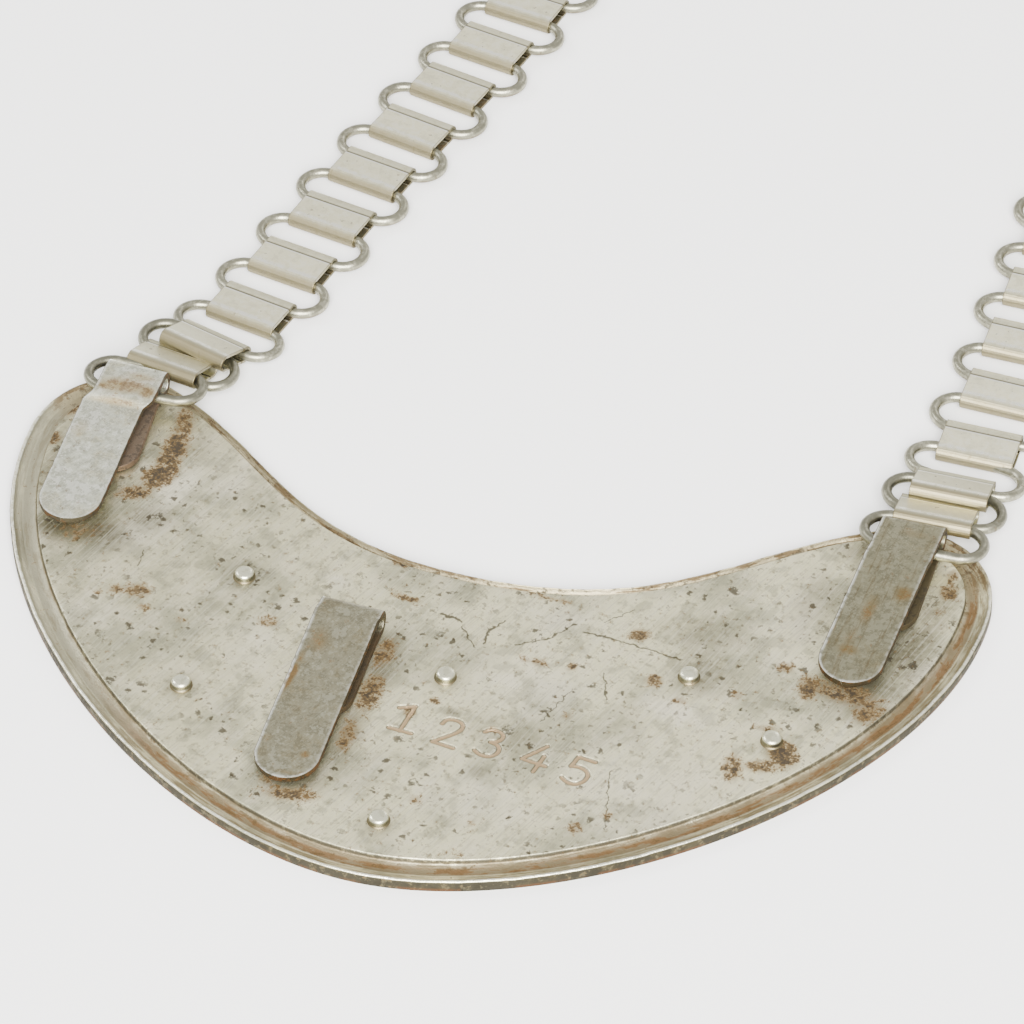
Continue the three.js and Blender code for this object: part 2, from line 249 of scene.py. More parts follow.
class Nodes:
    """A node tree and the one way to add a node to it."""

    def __init__(self, tree):
        self.tree = tree

    def join(self, socket, value):
        if isinstance(value, Value):
            self.tree.links.new(value.socket, socket)
        elif value is not None:
            socket.default_value = value

    def node(self, kind, settings=None, *values, out=0, **named):
        """Adds a node: its settings first, then its sockets in order or by name. None skips one."""
        node = self.tree.nodes.new(kind)
        for key, value in (settings or {}).items():
            setattr(node, key, value)
        sockets = [socket for socket in node.inputs if socket.enabled]
        for socket, value in zip(sockets, values):
            self.join(socket, value)
        for key, value in named.items():
            self.join(node.inputs[key.replace("_", " ")], value)
        return Value(self, node.outputs[out])


class Shader(Nodes):
    """A material with one Principled shader, and short ways to add nodes to it."""

    def __init__(self, name):
        self.material = bpy.data.materials.new(name)
        self.material.use_nodes = True
        super().__init__(self.material.node_tree)
        self.principled = self.tree.nodes["Principled BSDF"]
        self.place = None

    def set(self, name, value):
        self.join(self.principled.inputs[name], value)

    def spot(self):
        """The surface point in millimetres of the frame."""
        if self.place is None:
            place = self.node("ShaderNodeTexCoord", {}, out="Object")
            self.place = self.node("ShaderNodeVectorMath", {"operation": "SCALE"}, place, Scale=1000.0)
        return self.place

    def stretched(self, turn, stretch):
        """The surface point turned about Z by an angle in degrees, then stretched along each axis."""
        settings = {"rotation_type": "Z_AXIS"}
        turned = self.node("ShaderNodeVectorRotate", settings, self.spot(), Angle=math.radians(turn))
        return self.node("ShaderNodeVectorMath", {"operation": "MULTIPLY"}, turned, stretch)

    def noise(self, size, detail=2.0, rough=0.5, at=None, offset=0.0):
        """Soft noise from 0 to 1 whose blotches are about a size in millimetres."""
        at = at or self.spot()
        if offset:
            shift = (offset, offset * 0.7, offset * 1.3)
            at = self.node("ShaderNodeVectorMath", {"operation": "ADD"}, at, shift)
        sockets = {"Vector": at, "Scale": 1 / size, "Detail": detail, "Roughness": rough}
        return self.node("ShaderNodeTexNoise", {"noise_dimensions": "3D"}, **sockets)

    def attribute(self, name):
        return self.node("ShaderNodeAttribute", {"attribute_name": name}, out="Fac")

    def mix(self, factor, first, second):
        node = self.tree.nodes.new("ShaderNodeMix")
        node.data_type = "RGBA"
        self.join(node.inputs[0], factor)
        self.join(node.inputs[6], first)
        self.join(node.inputs[7], second)
        return Value(self, node.outputs[2])

    def bump(self, height, distance, strength=1.0):
        """Relief from a height of 0 to 1 over a distance in millimetres."""
        relief = self.node("ShaderNodeBump", {}, Strength=strength, Distance=distance * MM, Height=height)
        self.set("Normal", relief)


def color(red, green, blue):
    return (red, green, blue, 1.0)


# Camera, floor and light


def add_camera():
    """The photograph's view: a long lens 43 degrees above the table, slightly from the right."""
    azimuth = math.radians(15.57)
    elevation = math.radians(43.0126)
    roll = math.radians(0.436)
    spot = to_frame((154.1, -468.5, 533.3))
    level = math.cos(elevation)
    look = Vector((-math.sin(azimuth) * level, math.cos(azimuth) * level, -math.sin(elevation)))
    camera = bpy.data.cameras.new("camera")
    camera.sensor_width = 36
    camera.lens = FOCAL_PIXELS / PICTURE_PIXELS * camera.sensor_width
    camera.clip_end = 10
    obj = bpy.data.objects.new("camera", camera)
    turn = look.to_track_quat("-Z", "Y").to_matrix().to_4x4()
    obj.matrix_world = Matrix.Translation(spot) @ turn @ Matrix.Rotation(roll, 4, "Z")
    bpy.context.scene.collection.objects.link(obj)
    bpy.context.scene.camera = obj


def add_floor_and_light():
    """A pale floor and soft studio light: an even white room, a wide lamp in front and two smaller ones."""
    floor = bpy.data.meshes.new("floor")
    reach = 3.0
    corners = [(-reach, -reach, 0), (reach, -reach, 0), (reach, reach, 0), (-reach, reach, 0)]
    floor.from_pydata(corners, [], [(0, 1, 2, 3)])
    obj = bpy.data.objects.new("floor", floor)
    obj.location.z = -0.0001
    bpy.context.scene.collection.objects.link(obj)
    paper = Shader("floor_paper")
    paper.set("Base Color", (0.95, 0.95, 0.945, 1))
    paper.set("Roughness", 0.9)
    paper.set("Specular IOR Level", 0.1)
    floor.materials.append(paper.material)

    world = bpy.data.worlds.new("studio")
    bpy.context.scene.world = world
    world.use_nodes = True
    sky = world.node_tree.nodes["Background"]
    sky.inputs["Color"].default_value = (1.0, 0.99, 0.97, 1)
    sky.inputs["Strength"].default_value = 1.2

    lamps = (
        ("lamp_front", (0.45, -1.5, 1.15), 1.3, 175, (1.0, 0.99, 0.97)),
        ("lamp_left", (-1.1, 0.1, 0.9), 0.5, 7, (0.97, 0.98, 1.0)),
        ("lamp_back", (0.3, 1.5, 0.9), 0.5, 3, (1.0, 0.98, 0.95)),
    )
    for name, spot, size, power, tint in lamps:
        lamp = bpy.data.lights.new(name, "AREA")
        lamp.size = size
        lamp.energy = power
        lamp.color = tint
        obj = bpy.data.objects.new(name, lamp)
        obj.location = spot
        obj.rotation_euler = (Vector((0, -0.1, 0)) - Vector(spot)).to_track_quat("-Z", "Y").to_euler()
        bpy.context.scene.collection.objects.link(obj)


# Plate


# Outline of the right half from the bottom to the neck: the box between named sizes, then the control
# points of one cubic curve as shares of it
OUTLINE = (
    ((0, half_width, 0, WIDEST_HEIGHT), ((0.43, 0), (1, 0.52), (1, 1))),
    ((half_spread, half_width, WIDEST_HEIGHT, PLATE_HEIGHT), ((1, 0.52), (0.66, 1), (0, 1))),
    ((0, half_spread, NECK_HEIGHT, PLATE_HEIGHT), ((0.932, 1), (0.781, 0.785), (0.645, 0.545))),
    ((0, half_spread, NECK_HEIGHT, PLATE_HEIGHT), ((0.466, 0.23), (0.313, 0), (0, 0))),
)

# Section of the plate's edge from its hidden front to the field, inset as a share of the border
EDGE_SECTION = (
    (0.985, 1.1),
    (0.93, 0.92),
    (0.87, 0.2),
    (0.83, 0.03),
    (0.78, 0.0),
    (0.4, 0.0),
    (0.07, 0.0),
    (0.02, 0.05),
    (0.0, 0.2),
    (0.0, 0.7),
    (0.0, 1.2),
    (0.004, 1.65),
    (0.02, 1.86),
    (0.05, 1.99),
    (0.085, 2.05),
    (0.12, 2.0),
    (0.15, 1.86),
    (0.2, 1.66),
    (0.3, 1.42),
    (0.38, 1.33),
    (0.4, 1.27),
    (0.42, 1.22),
    (0.52, 1.16),
    (0.62, 1.15),
    (0.72, 1.2),
    (0.8, 1.3),
    (0.87, 1.42),
    (0.91, 1.48),
    (0.93, 1.6),
    (0.94, 1.9),
    (0.955, 2.17),
    (0.975, 2.28),
    (1.0, 2.3),
)


def half_outline():
    points = []
    start = Vector((0, 0))
    for (left, right, low, high), curve in OUTLINE:
        ends = [Vector((lerp(left, right, x), lerp(low, high, y))) for x, y in curve]
        count = 120
        for i in range(count):
            t = i / count
            u = 1 - t
            points.append(
                start * u**3 + ends[0] * 3 * u * u * t + ends[1] * 3 * u * t * t + ends[2] * t**3
            )
        start = ends[2]
    points.append(start)
    return points


def even_spacing(points, spacing):
    """Points at even steps along an open line of points, both ends kept."""
    reach = [0.0]
    for a, b in zip(points, points[1:]):
        reach.append(reach[-1] + (b - a).length)
    count = max(1, round(reach[-1] / spacing))
    found = []
    index = 0
    for step in range(count + 1):
        wanted = reach[-1] * step / count
        while index < len(points) - 2 and reach[index + 1] < wanted:
            index += 1
        part = (wanted - reach[index]) / (reach[index + 1] - reach[index])
        found.append(points[index].lerp(points[index + 1], part))
    return found


def plate_stations():
    """Points round the outline with the way inwards and the border's width at each."""
    right = even_spacing(half_outline(), OUTLINE_SPACING)
    outline = right + [Vector((-p.x, p.y)) for p in reversed(right[1:-1])]
    count = len(outline)
    shoulder = max(range(len(right)), key=lambda i: right[i].y)
    blend = round(14 / OUTLINE_SPACING)
    stations = []
    for index, point in enumerate(outline):
        along = (outline[(index + 1) % count] - outline[index - 1]).normalized()
        from_bottom = min(index, count - index)
        share = smooth(shoulder - blend / 3, shoulder + blend, from_bottom)
        stations.append((point, Vector((-along.y, along.x)), lerp(BORDER_WIDTH, NECK_BORDER_WIDTH, share)))
    return stations


def wobble(x, y, size, seed=0.0):
    """Soft noise from -1 to 1 over the plate."""
    return noise.noise(Vector((x / size, y / size, seed)))


# Digits by their strokes in millimetres round their middle, and their places on the plate
DIGIT_STROKES = {
    "1": (((-1.6, 1.8), (0.6, 2.8)), ((0.6, 2.8), (0.0, -2.8)), ((-1.8, -2.6), (1.8, -2.8))),
    "2": (
        ((-1.6, 1.4), (-1.3, 2.5), (0.1, 2.9), (1.5, 2.4), (1.6, 1.2), (0.7, -0.2), (-1.6, -2.6)),
        ((-1.6, -2.6), (1.8, -2.8)),
    ),
    "3": (
        ((-1.5, 2.0), (-0.7, 2.8), (0.7, 2.8), (1.6, 1.9), (1.1, 0.7), (0.0, 0.3)),
        ((0.0, 0.3), (1.4, 0.0), (1.9, -1.3), (1.0, -2.7), (-0.6, -2.8), (-1.7, -2.1)),
    ),
    "4": (((0.7, 2.8), (-1.9, -0.9)), ((-1.9, -0.9), (1.9, -1.1)), ((1.0, 0.7), (0.6, -2.8))),
    "5": (
        ((1.6, 2.7), (-1.1, 2.7)),
        ((-1.1, 2.7), (-1.4, 0.5)),
        ((-1.4, 0.5), (0.0, 0.9), (1.6, 0.3), (1.8, -1.3), (0.8, -2.7), (-0.6, -2.8), (-1.7, -2.2)),
    ),
}
DIGITS = (
    ("1", -1.6, 32.1, -2),
    ("2", 5.4, 31.0, -5),
    ("3", 11.9, 30.6, -3),
    ("4", 19.3, 29.6, -6),
    ("5", 26.0, 28.7, -9),
)
STROKE_WIDTH = 0.42
STROKE_DEPTH = 0.2
PANEL = {"centre": (12.2, 30.4), "turn": -7.0, "size": (36.0, 10.4), "spacing": 0.16}


def softened(points):
    """A stroke with its corners cut twice, as a bent line."""
    if len(points) < 3:
        return points
    for _ in range(2):
        cut = [points[0]]
        for a, b in zip(points, points[1:]):
            cut.append((lerp(a[0], b[0], 0.25), lerp(a[1], b[1], 0.25)))
            cut.append((lerp(a[0], b[0], 0.75), lerp(a[1], b[1], 0.75)))
        points = cut + [points[-1]]
    return points


def digit_segments():
    """The straight pieces of all strokes on the plate."""
    found = []
    for digit, x, y, turn in DIGITS:
        cos, sin = math.cos(math.radians(turn)), math.sin(math.radians(turn))
        for stroke in DIGIT_STROKES[digit]:
            placed = [(x + cos * a - sin * b, y + sin * a + cos * b) for a, b in softened(stroke)]
            found.extend(zip(placed, placed[1:]))
    return found


def stamped(x, y, segments):
    """Distance from a point to the nearest stroke."""
    best = 9.0
    for (ax, ay), (bx, by) in segments:
        dx, dy = bx - ax, by - ay
        t = ((x - ax) * dx + (y - ay) * dy) / (dx * dx + dy * dy)
        t = min(max(t, 0.0), 1.0)
        best = min(best, math.hypot(x - ax - t * dx, y - ay - t * dy))
    return best


def field_height(x, y):
    """The field's slight dents."""
    return FIELD_HEIGHT + 0.05 * wobble(x, y, 17) + 0.02 * wobble(x, y, 6, 3.0)


def inside(points, outline):
    """Which points lie inside a closed line, by counting crossings."""
    found = np.zeros(len(points), bool)
    for (ax, ay), (bx, by) in zip(outline, np.roll(outline, -1, axis=0)):
        if ay == by:
            continue
        crosses = (points[:, 1] > ay) != (points[:, 1] > by)
        found ^= crosses & (points[:, 0] < (bx - ax) * (points[:, 1] - ay) / (by - ay) + ax)
    return found


def spotted(x, y, spots):
    """How much of a table's stains and painted shade lies on points: soft ovals of (x, y, radius across,
    radius along, turn, strength)."""
    total = np.zeros(len(x))
    for at_x, at_y, across, along, turn, strength in spots:
        cos, sin = math.cos(math.radians(turn)), math.sin(math.radians(turn))
        u = ((x - at_x) * cos + (y - at_y) * sin) / across
        v = (-(x - at_x) * sin + (y - at_y) * cos) / along
        near = np.clip((1.5 - np.hypot(u, v)) / 1.3, 0, 1)
        total = np.maximum(total, strength * near * near * (3 - 2 * near))
    return total


def make_plate(material):
    stations = plate_stations()
    count = len(stations)
    vertices = []
    zone = []
    for inset, height in EDGE_SECTION:
        for point, inward, border in stations:
            place = point + inward * (inset * border)
            x, y = place
            on_edge = smooth(0.5, 1.6, height) * smooth(1.0, 0.9, inset)
            out = 0.07 * wobble(x, y, 4.0, 1.0) + 0.04 * wobble(x, y, 1.3, 2.0)
            place = place + inward * (out * on_edge)
            lift = on_edge * (0.06 * wobble(x, y, 7.0, 5.0) + 0.05 * wobble(x, y, 1.6, 6.0))
            if inset == 1.0:
                height = field_height(x, y)
            vertices.append((place.x, place.y, max(0.0, height + lift)))
            zone.append(inset)
    faces = []
    rows = len(EDGE_SECTION)
    for row in range(rows - 1):
        for i in range(count):
            j = (i + 1) % count
            low, high = row * count, (row + 1) * count
            faces.append((low + i, low + j, high + j, high + i))
    faces.append(tuple(reversed(range(count))))

    ring = [(rows - 1) * count + i for i in range(count)]
    border_line = np.array([vertices[i][:2] for i in ring])

    segments = digit_segments()
    cos, sin = (f(math.radians(PANEL["turn"])) for f in (math.cos, math.sin))
    wide, high = (round(size / PANEL["spacing"]) for size in PANEL["size"])
    panel = {}
    for j in range(high + 1):
        for i in range(wide + 1):
            u = (i / wide - 0.5) * PANEL["size"][0]
            v = (j / high - 0.5) * PANEL["size"][1]
            x = PANEL["centre"][0] + cos * u - sin * v
            y = PANEL["centre"][1] + sin * u + cos * v
            near = stamped(x, y, segments)
            ragged = 0.05 * wobble(x, y, 0.7, 9.0)
            groove = 1 - smooth(0.4 * STROKE_WIDTH, STROKE_WIDTH + 0.1, near + ragged)
            burr = smooth(0.95, 0.62, near) * smooth(0.42, 0.6, near)
            panel[i, j] = len(vertices)
            vertices.append((x, y, field_height(x, y) - STROKE_DEPTH * groove + 0.05 * burr))
            zone.append(2.0 + groove)
    for j in range(high):
        for i in range(wide):
            faces.append((panel[i, j], panel[i + 1, j], panel[i + 1, j + 1], panel[i, j + 1]))
    rim = [panel[i, 0] for i in range(wide)]
    rim += [panel[wide, j] for j in range(high)]
    rim += [panel[i, high] for i in range(wide, 0, -1)]
    rim += [panel[0, j] for j in range(high, 0, -1)]

    loose = []
    row_height = FIELD_SPACING * math.sqrt(0.75)
    for j in range(int(PLATE_HEIGHT / row_height)):
        for i in range(-80, 80):
            loose.append(((i + 0.5 * (j % 2)) * FIELD_SPACING, j * row_height))
    loose = np.array(loose)
    keep = inside(loose, border_line)
    gaps = np.min(np.hypot(*(loose[keep][:, None, :] - border_line[None, ::2, :]).transpose(2, 0, 1)), axis=1)
    loose = loose[keep][gaps > 0.6 * FIELD_SPACING]
    local = loose - np.array(PANEL["centre"])
    u = local[:, 0] * cos + local[:, 1] * sin
    v = -local[:, 0] * sin + local[:, 1] * cos
    margin = 0.4
    clear = (abs(u) > PANEL["size"][0] / 2 + margin) | (abs(v) > PANEL["size"][1] / 2 + margin)
    loose = loose[clear]
    first_loose = len(vertices)
    for x, y in loose:
        vertices.append((x, y, field_height(x, y)))
        zone.append(1.2)
    index = ring + rim + list(range(first_loose, len(vertices)))
    flat = [Vector(vertices[i][:2]) for i in index]
    outer = list(range(len(ring)))
    hole = list(range(len(ring), len(ring) + len(rim)))
    edges = [(a, b) for line in (outer, hole) for a, b in zip(line, line[1:] + line[:1])]
    found = delaunay_2d_cdt(flat, edges, [outer], 1, 1e-6)
    spots, triangles, origins = found[0], found[2], found[3]
    for triangle in triangles:
        middle = sum((spots[i] for i in triangle), Vector((0, 0))) / 3 - Vector(PANEL["centre"])
        u = middle.x * cos + middle.y * sin
        v = -middle.x * sin + middle.y * cos
        if abs(u) < PANEL["size"][0] / 2 and abs(v) < PANEL["size"][1] / 2:
            continue
        faces.append(tuple(index[origins[i][0]] for i in triangle))
    obj = mesh_object("plate_steel_sheet", vertices, faces, material)
    paint(obj, "inset", [min(value, 1.0) for value in zone])
    paint(obj, "groove", [max(value - 2.0, 0.0) for value in zone])
    turns = [2 * math.pi * i / count for i in range(count)] * len(EDGE_SECTION)
    turns += [0.0] * (len(vertices) - len(turns))
    reach = count * OUTLINE_SPACING / (2 * math.pi)
    paint(obj, "round_x", [reach * math.cos(turn) for turn in turns])
    paint(obj, "round_y", [reach * math.sin(turn) for turn in turns])
    neck = []
    for x, y, _ in vertices:
        neck.append(smooth(36, 30, abs(x)) * smooth(55, 60, y) + smooth(62, 68, y - 0.25 * abs(x)))
    paint(obj, "neck", neck)
    x, y, _ = np.array(vertices).T
    for name, spots in (("rust", RUST), ("dirt_and_shade", DIRT_AND_SHADE), ("pale", PALE)):
        paint(obj, name, spotted(x, y, spots))
    return obj


# Hooks


def leaf_stations(end, start):
    """Distances along a leaf from its rounded end to its fold, closer in the round."""
    round_steps = 14
    turns = [math.pi / 2 * i / round_steps for i in range(round_steps + 1)]
    stations = [end - HOOK_END_ROUND * (1 - math.cos(turn)) for turn in turns]
    steps = math.ceil((stations[-1] - start) / 0.38)
    return stations + [lerp(stations[-1], start, i / steps) for i in range(1, steps + 1)]


def hook_path(level, drop, tip):
    """The strip's middle line from the tip of the top leaf round the fold to the base leaf's end, as
    (length, height) from the fold's far edge, and 1 on the top leaf or 0 on the base leaf."""
    outer = hook_height / 2
    radius = outer - HOOK_STRIP / 2
    high = hook_height - HOOK_STRIP / 2
    level_end = level * HOOK_LENGTH
    bends = [(outer, high), (level_end, high)]
    if drop:
        bends.append((level_end + JOGGLE_LENGTH, high - drop * HOOK_STRIP))
    bends.append((HOOK_LENGTH, tip * hook_height + HOOK_STRIP / 2))
    soft = 0.4
    path = []
    for down in leaf_stations(HOOK_LENGTH, outer):
        near = np.clip(np.linspace(down - soft, down + soft, 9), outer, HOOK_LENGTH)
        path.append((down, float(np.interp(near, *zip(*bends)).mean()), 1))
    turns = 16
    for i in range(1, turns + 1):
        angle = math.pi * (0.5 + i / turns)
        down, up = outer + radius * math.cos(angle), outer + radius * math.sin(angle)
        path.append((down, up, 1 if i <= turns / 2 else 0))
    base = [(down, HOOK_STRIP / 2, 0) for down in reversed(leaf_stations(HOOK_BASE_LENGTH, outer))]
    return path + base[1:]


def strip_outline():
    """Round the strip: its side from -1 to 1, its face from 1 on top to -1 below, and how far the
    side wall bulges."""
    across = 22
    wall = 8
    top = [(math.sin(math.pi / 2 * lerp(-1, 1, i / across)), 1.0, 0.0) for i in range(across + 1)]
    right = []
    for i in range(1, wall):
        angle = math.pi * i / wall
        face = math.copysign(abs(math.cos(angle)) ** 0.4, math.cos(angle))
        right.append((1.0, face, math.sin(angle) ** 0.4))
    below = [(-side, -1.0, 0.0) for side, _, _ in top]
    left = [(-1.0, -face, bulge) for _, face, bulge in right]
    return top + right + below + left


def hook_shift(name, down, level, leaf, skew):
    """Sideways shift of a hook's strip at a distance from its fold."""
    _, at_fold, at_joggle, at_tip = HOOK_SHIFTS[name]
    if leaf:
        joggle = level * HOOK_LENGTH
        shift = lerp(at_joggle, at_tip, smooth(joggle, HOOK_LENGTH, down))
        return lerp(at_fold, shift, smooth(joggle - 0.3, joggle + 1.5, down))
    return at_fold * smooth(6, 0, down) + math.tan(math.radians(skew)) * down


def make_hook(name, material):
    x, y, turn, skew, level, drop, tip = HOOKS[name]
    middle_x, middle_y = on_plate(x, y)
    cos, sin = math.cos(math.radians(turn)), math.sin(math.radians(turn))
    slant = math.tan(math.radians(HOOK_SHIFTS[name][0]))
    path = hook_path(level, drop, tip)
    around = strip_outline()
    corner = 0.16
    seed = 10 * x
    vertices = []
    marks = {"edge": [], "wall": [], "base": []}
    spots = []
    for index, (down, height, leaf) in enumerate(path):
        before = path[max(index - 1, 0)]
        after = path[min(index + 1, len(path) - 1)]
        tangent = Vector((after[0] - before[0], after[1] - before[1])).normalized()
        normal = Vector((tangent.y, -tangent.x))
        end = HOOK_LENGTH if leaf else HOOK_BASE_LENGTH
        into = min(max((down - end) / HOOK_END_ROUND + 1, 0.0), 1.0)
        half = max(HOOK_WIDTH / 2 * math.sqrt(1 - into * into), 0.02)
        shift = hook_shift(name, down, level, leaf, skew)
        for side, face, bulge in around:
            inner = max(half - corner, 0.0)
            across = side * (inner + (half - inner) * bulge)
            dent = 0.06 * noise.noise(Vector((across / 4, down / 5, seed)))
            dent += 0.025 * noise.noise(Vector((across / 1.2, down / 1.5, seed + 4)))
            nick = 0.05 * noise.noise(Vector((down / 1.1, seed, side))) * smooth(0, 1, half)
            thick = HOOK_STRIP / 2 * face
            left = across + shift + side * nick
            far = slant * across * smooth(9, 1, down) - down - normal.x * thick
            up = height + normal.y * thick + dent
            x, y = middle_x + cos * left - sin * far, middle_y + sin * left + cos * far
            vertices.append((x, y, hook_base + up))
            tip_gap = HOOK_END_ROUND * (math.sqrt(max(1 - (across / HOOK_WIDTH * 2) ** 2, 0.0)) - into)
            nearest = min(half - abs(across), tip_gap if into > 0 else 9.0)
            # Painted highlight along the edges of the top face: full on the left side and round the tip,
            # weaker on the right
            bright = max(smooth(2, -2, across), into, 0.35)
            marks["edge"].append(bright * smooth(0.6, 0.15, nearest) if face == 1 else 0.0)
            # Side walls, darkened with painted shade in the material
            marks["wall"].append(1.0 if abs(face) < 0.97 else 0.0)
            marks["base"].append(smooth(1.6, 3.2, down) if not leaf else 0.0)
            spots.append((across, down, leaf))
    ring = len(around)
    faces = []
    for i in range(len(path) - 1):
        for j in range(ring):
            k = (j + 1) % ring
            faces.append((i * ring + j, i * ring + k, (i + 1) * ring + k, (i + 1) * ring + j))
    faces.append(tuple(range(ring)))
    last = (len(path) - 1) * ring
    faces.append(tuple(reversed(range(last, last + ring))))
    obj = mesh_object(name + "_strip", vertices, faces, material)
    across, down, leaf = np.array(spots).T
    marks["stain"] = spotted(across, down, HOOK_STAINS[name]) * leaf
    for mark, values in marks.items():
        paint(obj, mark, values)
    return obj


# Chain


def route_points():
    spots = []
    for start, points in CHAIN_ROUTE:
        x, y = on_plate(*HOOKS[start][:2]) if start in HOOKS else (0.0, 0.0)
        spots += [Vector((x + a, y + b, 0.0)) for a, b in points]
    return spots


def sampled_route(spots):
    """The smooth curve through the chosen points, sampled finely."""
    spots = [spots[0] * 2 - spots[1]] + spots + [spots[-1] * 2 - spots[-2]]
    line = []
    fine = 120
    for p0, p1, p2, p3 in zip(spots, spots[1:], spots[2:], spots[3:]):
        d0, d1, d2 = (math.sqrt((b - a).length) for a, b in ((p0, p1), (p1, p2), (p2, p3)))
        t1 = ((p1 - p0) / d0 - (p2 - p0) / (d0 + d1) + (p2 - p1) / d1) * d1
        t2 = ((p2 - p1) / d1 - (p3 - p1) / (d1 + d2) + (p3 - p2) / d2) * d1
        for i in range(fine):
            t = i / fine
            line.append(
                p1 + t1 * t + (-3 * p1 + 3 * p2 - 2 * t1 - t2) * t * t + (2 * p1 - 2 * p2 + t1 + t2) * t**3
            )
    line.append(spots[-2])
    return line


class Route:
    """The chain's middle line by distance."""

    def __init__(self):
        self.line = sampled_route(route_points())
        self.reach = [0.0]
        for a, b in zip(self.line, self.line[1:]):
            self.reach.append(self.reach[-1] + (b - a).length)
        self.length = self.reach[-1]

    def part(self, distance):
        index = min(max(bisect.bisect(self.reach, distance) - 1, 0), len(self.line) - 2)
        share = (distance - self.reach[index]) / (self.reach[index + 1] - self.reach[index])
        return index, share

    def point(self, distance):
        index, share = self.part(distance)
        return self.line[index].lerp(self.line[index + 1], share)

    def tangent(self, distance):
        near = 0.05
        return (self.point(distance + near) - self.point(distance - near)).normalized()


def link_distances(route):
    """Distances of the sheet links: bunched at both hooks, and taut along the outer edge between."""
    near = []
    total = 0.0
    for step, *_ in BUNCHED:
        total += step * link_pitch
        near.append(total)
    steps = 2 * round(route.length)
    step_length = (route.length - 2 * total) / steps
    edge = [0.0]
    for i in range(1, steps + 1):
        before = route.tangent(total + (i - 1) * step_length)
        bend = route.tangent(total + i * step_length).angle(before, 0.0)
        edge.append(edge[-1] + step_length + LINK_WIDTH / 2 * bend)
    count = round(edge[-1] / link_pitch)
    even = []
    for i in range(1, count):
        wanted = i / count * edge[-1]
        after = bisect.bisect_left(edge, wanted)
        even.append(total + step_length * (after - (edge[after] - wanted) / (edge[after] - edge[after - 1])))
    return near + even + [route.length - distance for distance in reversed(near)]


def laid_along(centre, along):
    across = Vector((along.y, -along.x, 0.0)).normalized()
    up = across.cross(along)
    place = Matrix((across, along, up)).transposed().to_4x4()
    place.translation = centre
    return place


def chain_links(route):
    """Each sheet link's place, its play, and which way leads away from the nearer hook."""
    distances = link_distances(route)
    last = len(distances) - 1
    join = last // 2
    links = []
    for index, distance in enumerate(distances):
        row = min(index, last - index)
        _, left, right, raised = BUNCHED[row] if row < len(BUNCHED) else (0, 0.0, 0.0, False)
        away = 1 if index <= join else -1
        square = left if index <= join else right
        along = route.tangent(distance).lerp(Vector((0, away, 0)), square).normalized()
        play = JOIN_PLAY if index == join else WIRE_PLAY
        centre = route.point(distance)
        centre.z = FIELD_HEIGHT + BUNCHED_RISE if raised else WIRE_RADIUS + play + LINK_SHEET
        fall = math.radians(BUNCHED_TILT if raised else 0) * -away
        along = along * math.cos(fall)
        along.z = math.sin(fall)
        links.append({"place": laid_along(centre, along), "play": play, "away": away})
    return links, join


def bar_in_link(link, distance):
    return link["place"] @ Vector((0, distance, -link["play"]))


def hook_bars(end, link, distance):
    height = hook_base + hook_height / 2
    outer = bar_in_link(link, distance)
    outer.x = end.x
    reach = math.sqrt(RING_BAR_SPACING**2 - (outer.z - height) ** 2)
    return Vector((end.x, outer.y - reach, height)), outer


def ring_places(route, links):
    inside_reach = LINK_LENGTH / 2 - LINK_SHEET - WIRE_RADIUS
    bars = [hook_bars(route.point(0), links[0], -inside_reach)]
    for before, link in zip(links, links[1:]):
        gap = (before["place"].translation - link["place"].translation).length
        slack = (gap - RING_BAR_SPACING) / 2
        bars.append((bar_in_link(before, slack), bar_in_link(link, -slack)))
    bars.append(tuple(reversed(hook_bars(route.point(route.length), links[-1], inside_reach))))
    return [laid_along((near + far) / 2, (far - near).normalized()) for near, far in bars]


class Pattern(Nodes):
    """A geometry tree with named inputs, run on a mesh of points."""

    def __init__(self, name, inputs):
        tree = bpy.data.node_groups.new(name, "GeometryNodeTree")
        super().__init__(tree)
        tree.interface.new_socket("Geometry", in_out="INPUT", socket_type="NodeSocketGeometry")
        self.identifiers = {}
        for label, kind in inputs.items():
            socket = tree.interface.new_socket(label, in_out="INPUT", socket_type=kind)
            self.identifiers[label] = socket.identifier
        tree.interface.new_socket("Geometry", in_out="OUTPUT", socket_type="NodeSocketGeometry")
        self.given = tree.nodes.new("NodeGroupInput")
        self.result = tree.nodes.new("NodeGroupOutput")

    def input(self, label):
        return Value(self, self.given.outputs[label])

    def end(self, geometry, material):
        """Copies on every point, turned as the points say, made real and given the material."""
        turn = self.node("GeometryNodeInputNamedAttribute", {"data_type": "FLOAT_VECTOR"}, "turn")
        points = self.input("Geometry")
        placed = self.node(
            "GeometryNodeInstanceOnPoints", {}, Points=points, Instance=geometry, Rotation=turn
        )
        real = self.node("GeometryNodeRealizeInstances", {}, placed)
        dressed = self.node("GeometryNodeSetMaterial", {}, Geometry=real, Material=material)
        self.tree.links.new(dressed.socket, self.result.inputs["Geometry"])

    def run(self, name, places, values, tints=None):
        """The tree's result on points at the given places, as a plain mesh object."""
        mesh = bpy.data.meshes.new(name)
        mesh.from_pydata([to_frame(place.translation) for place in places], [], [])
        turns = mesh.attributes.new("turn", "FLOAT_VECTOR", "POINT")
        turns.data.foreach_set("vector", [angle for place in places for angle in place.to_euler()])
        tint = mesh.attributes.new("tint", "FLOAT", "POINT")
        tint.data.foreach_set("value", tints or [0.5] * len(places))
        obj = bpy.data.objects.new(name, mesh)
        bpy.context.scene.collection.objects.link(obj)
        modifier = obj.modifiers.new("pattern", "NODES")
        modifier.node_group = self.tree
        for label, value in values.items():
            modifier[self.identifiers[label]] = value
        seen = obj.evaluated_get(bpy.context.evaluated_depsgraph_get())
        made = bpy.data.meshes.new_from_object(seen)
        obj.modifiers.clear()
        obj.data = made
        made.name = name
        bpy.data.meshes.remove(mesh)
        return obj


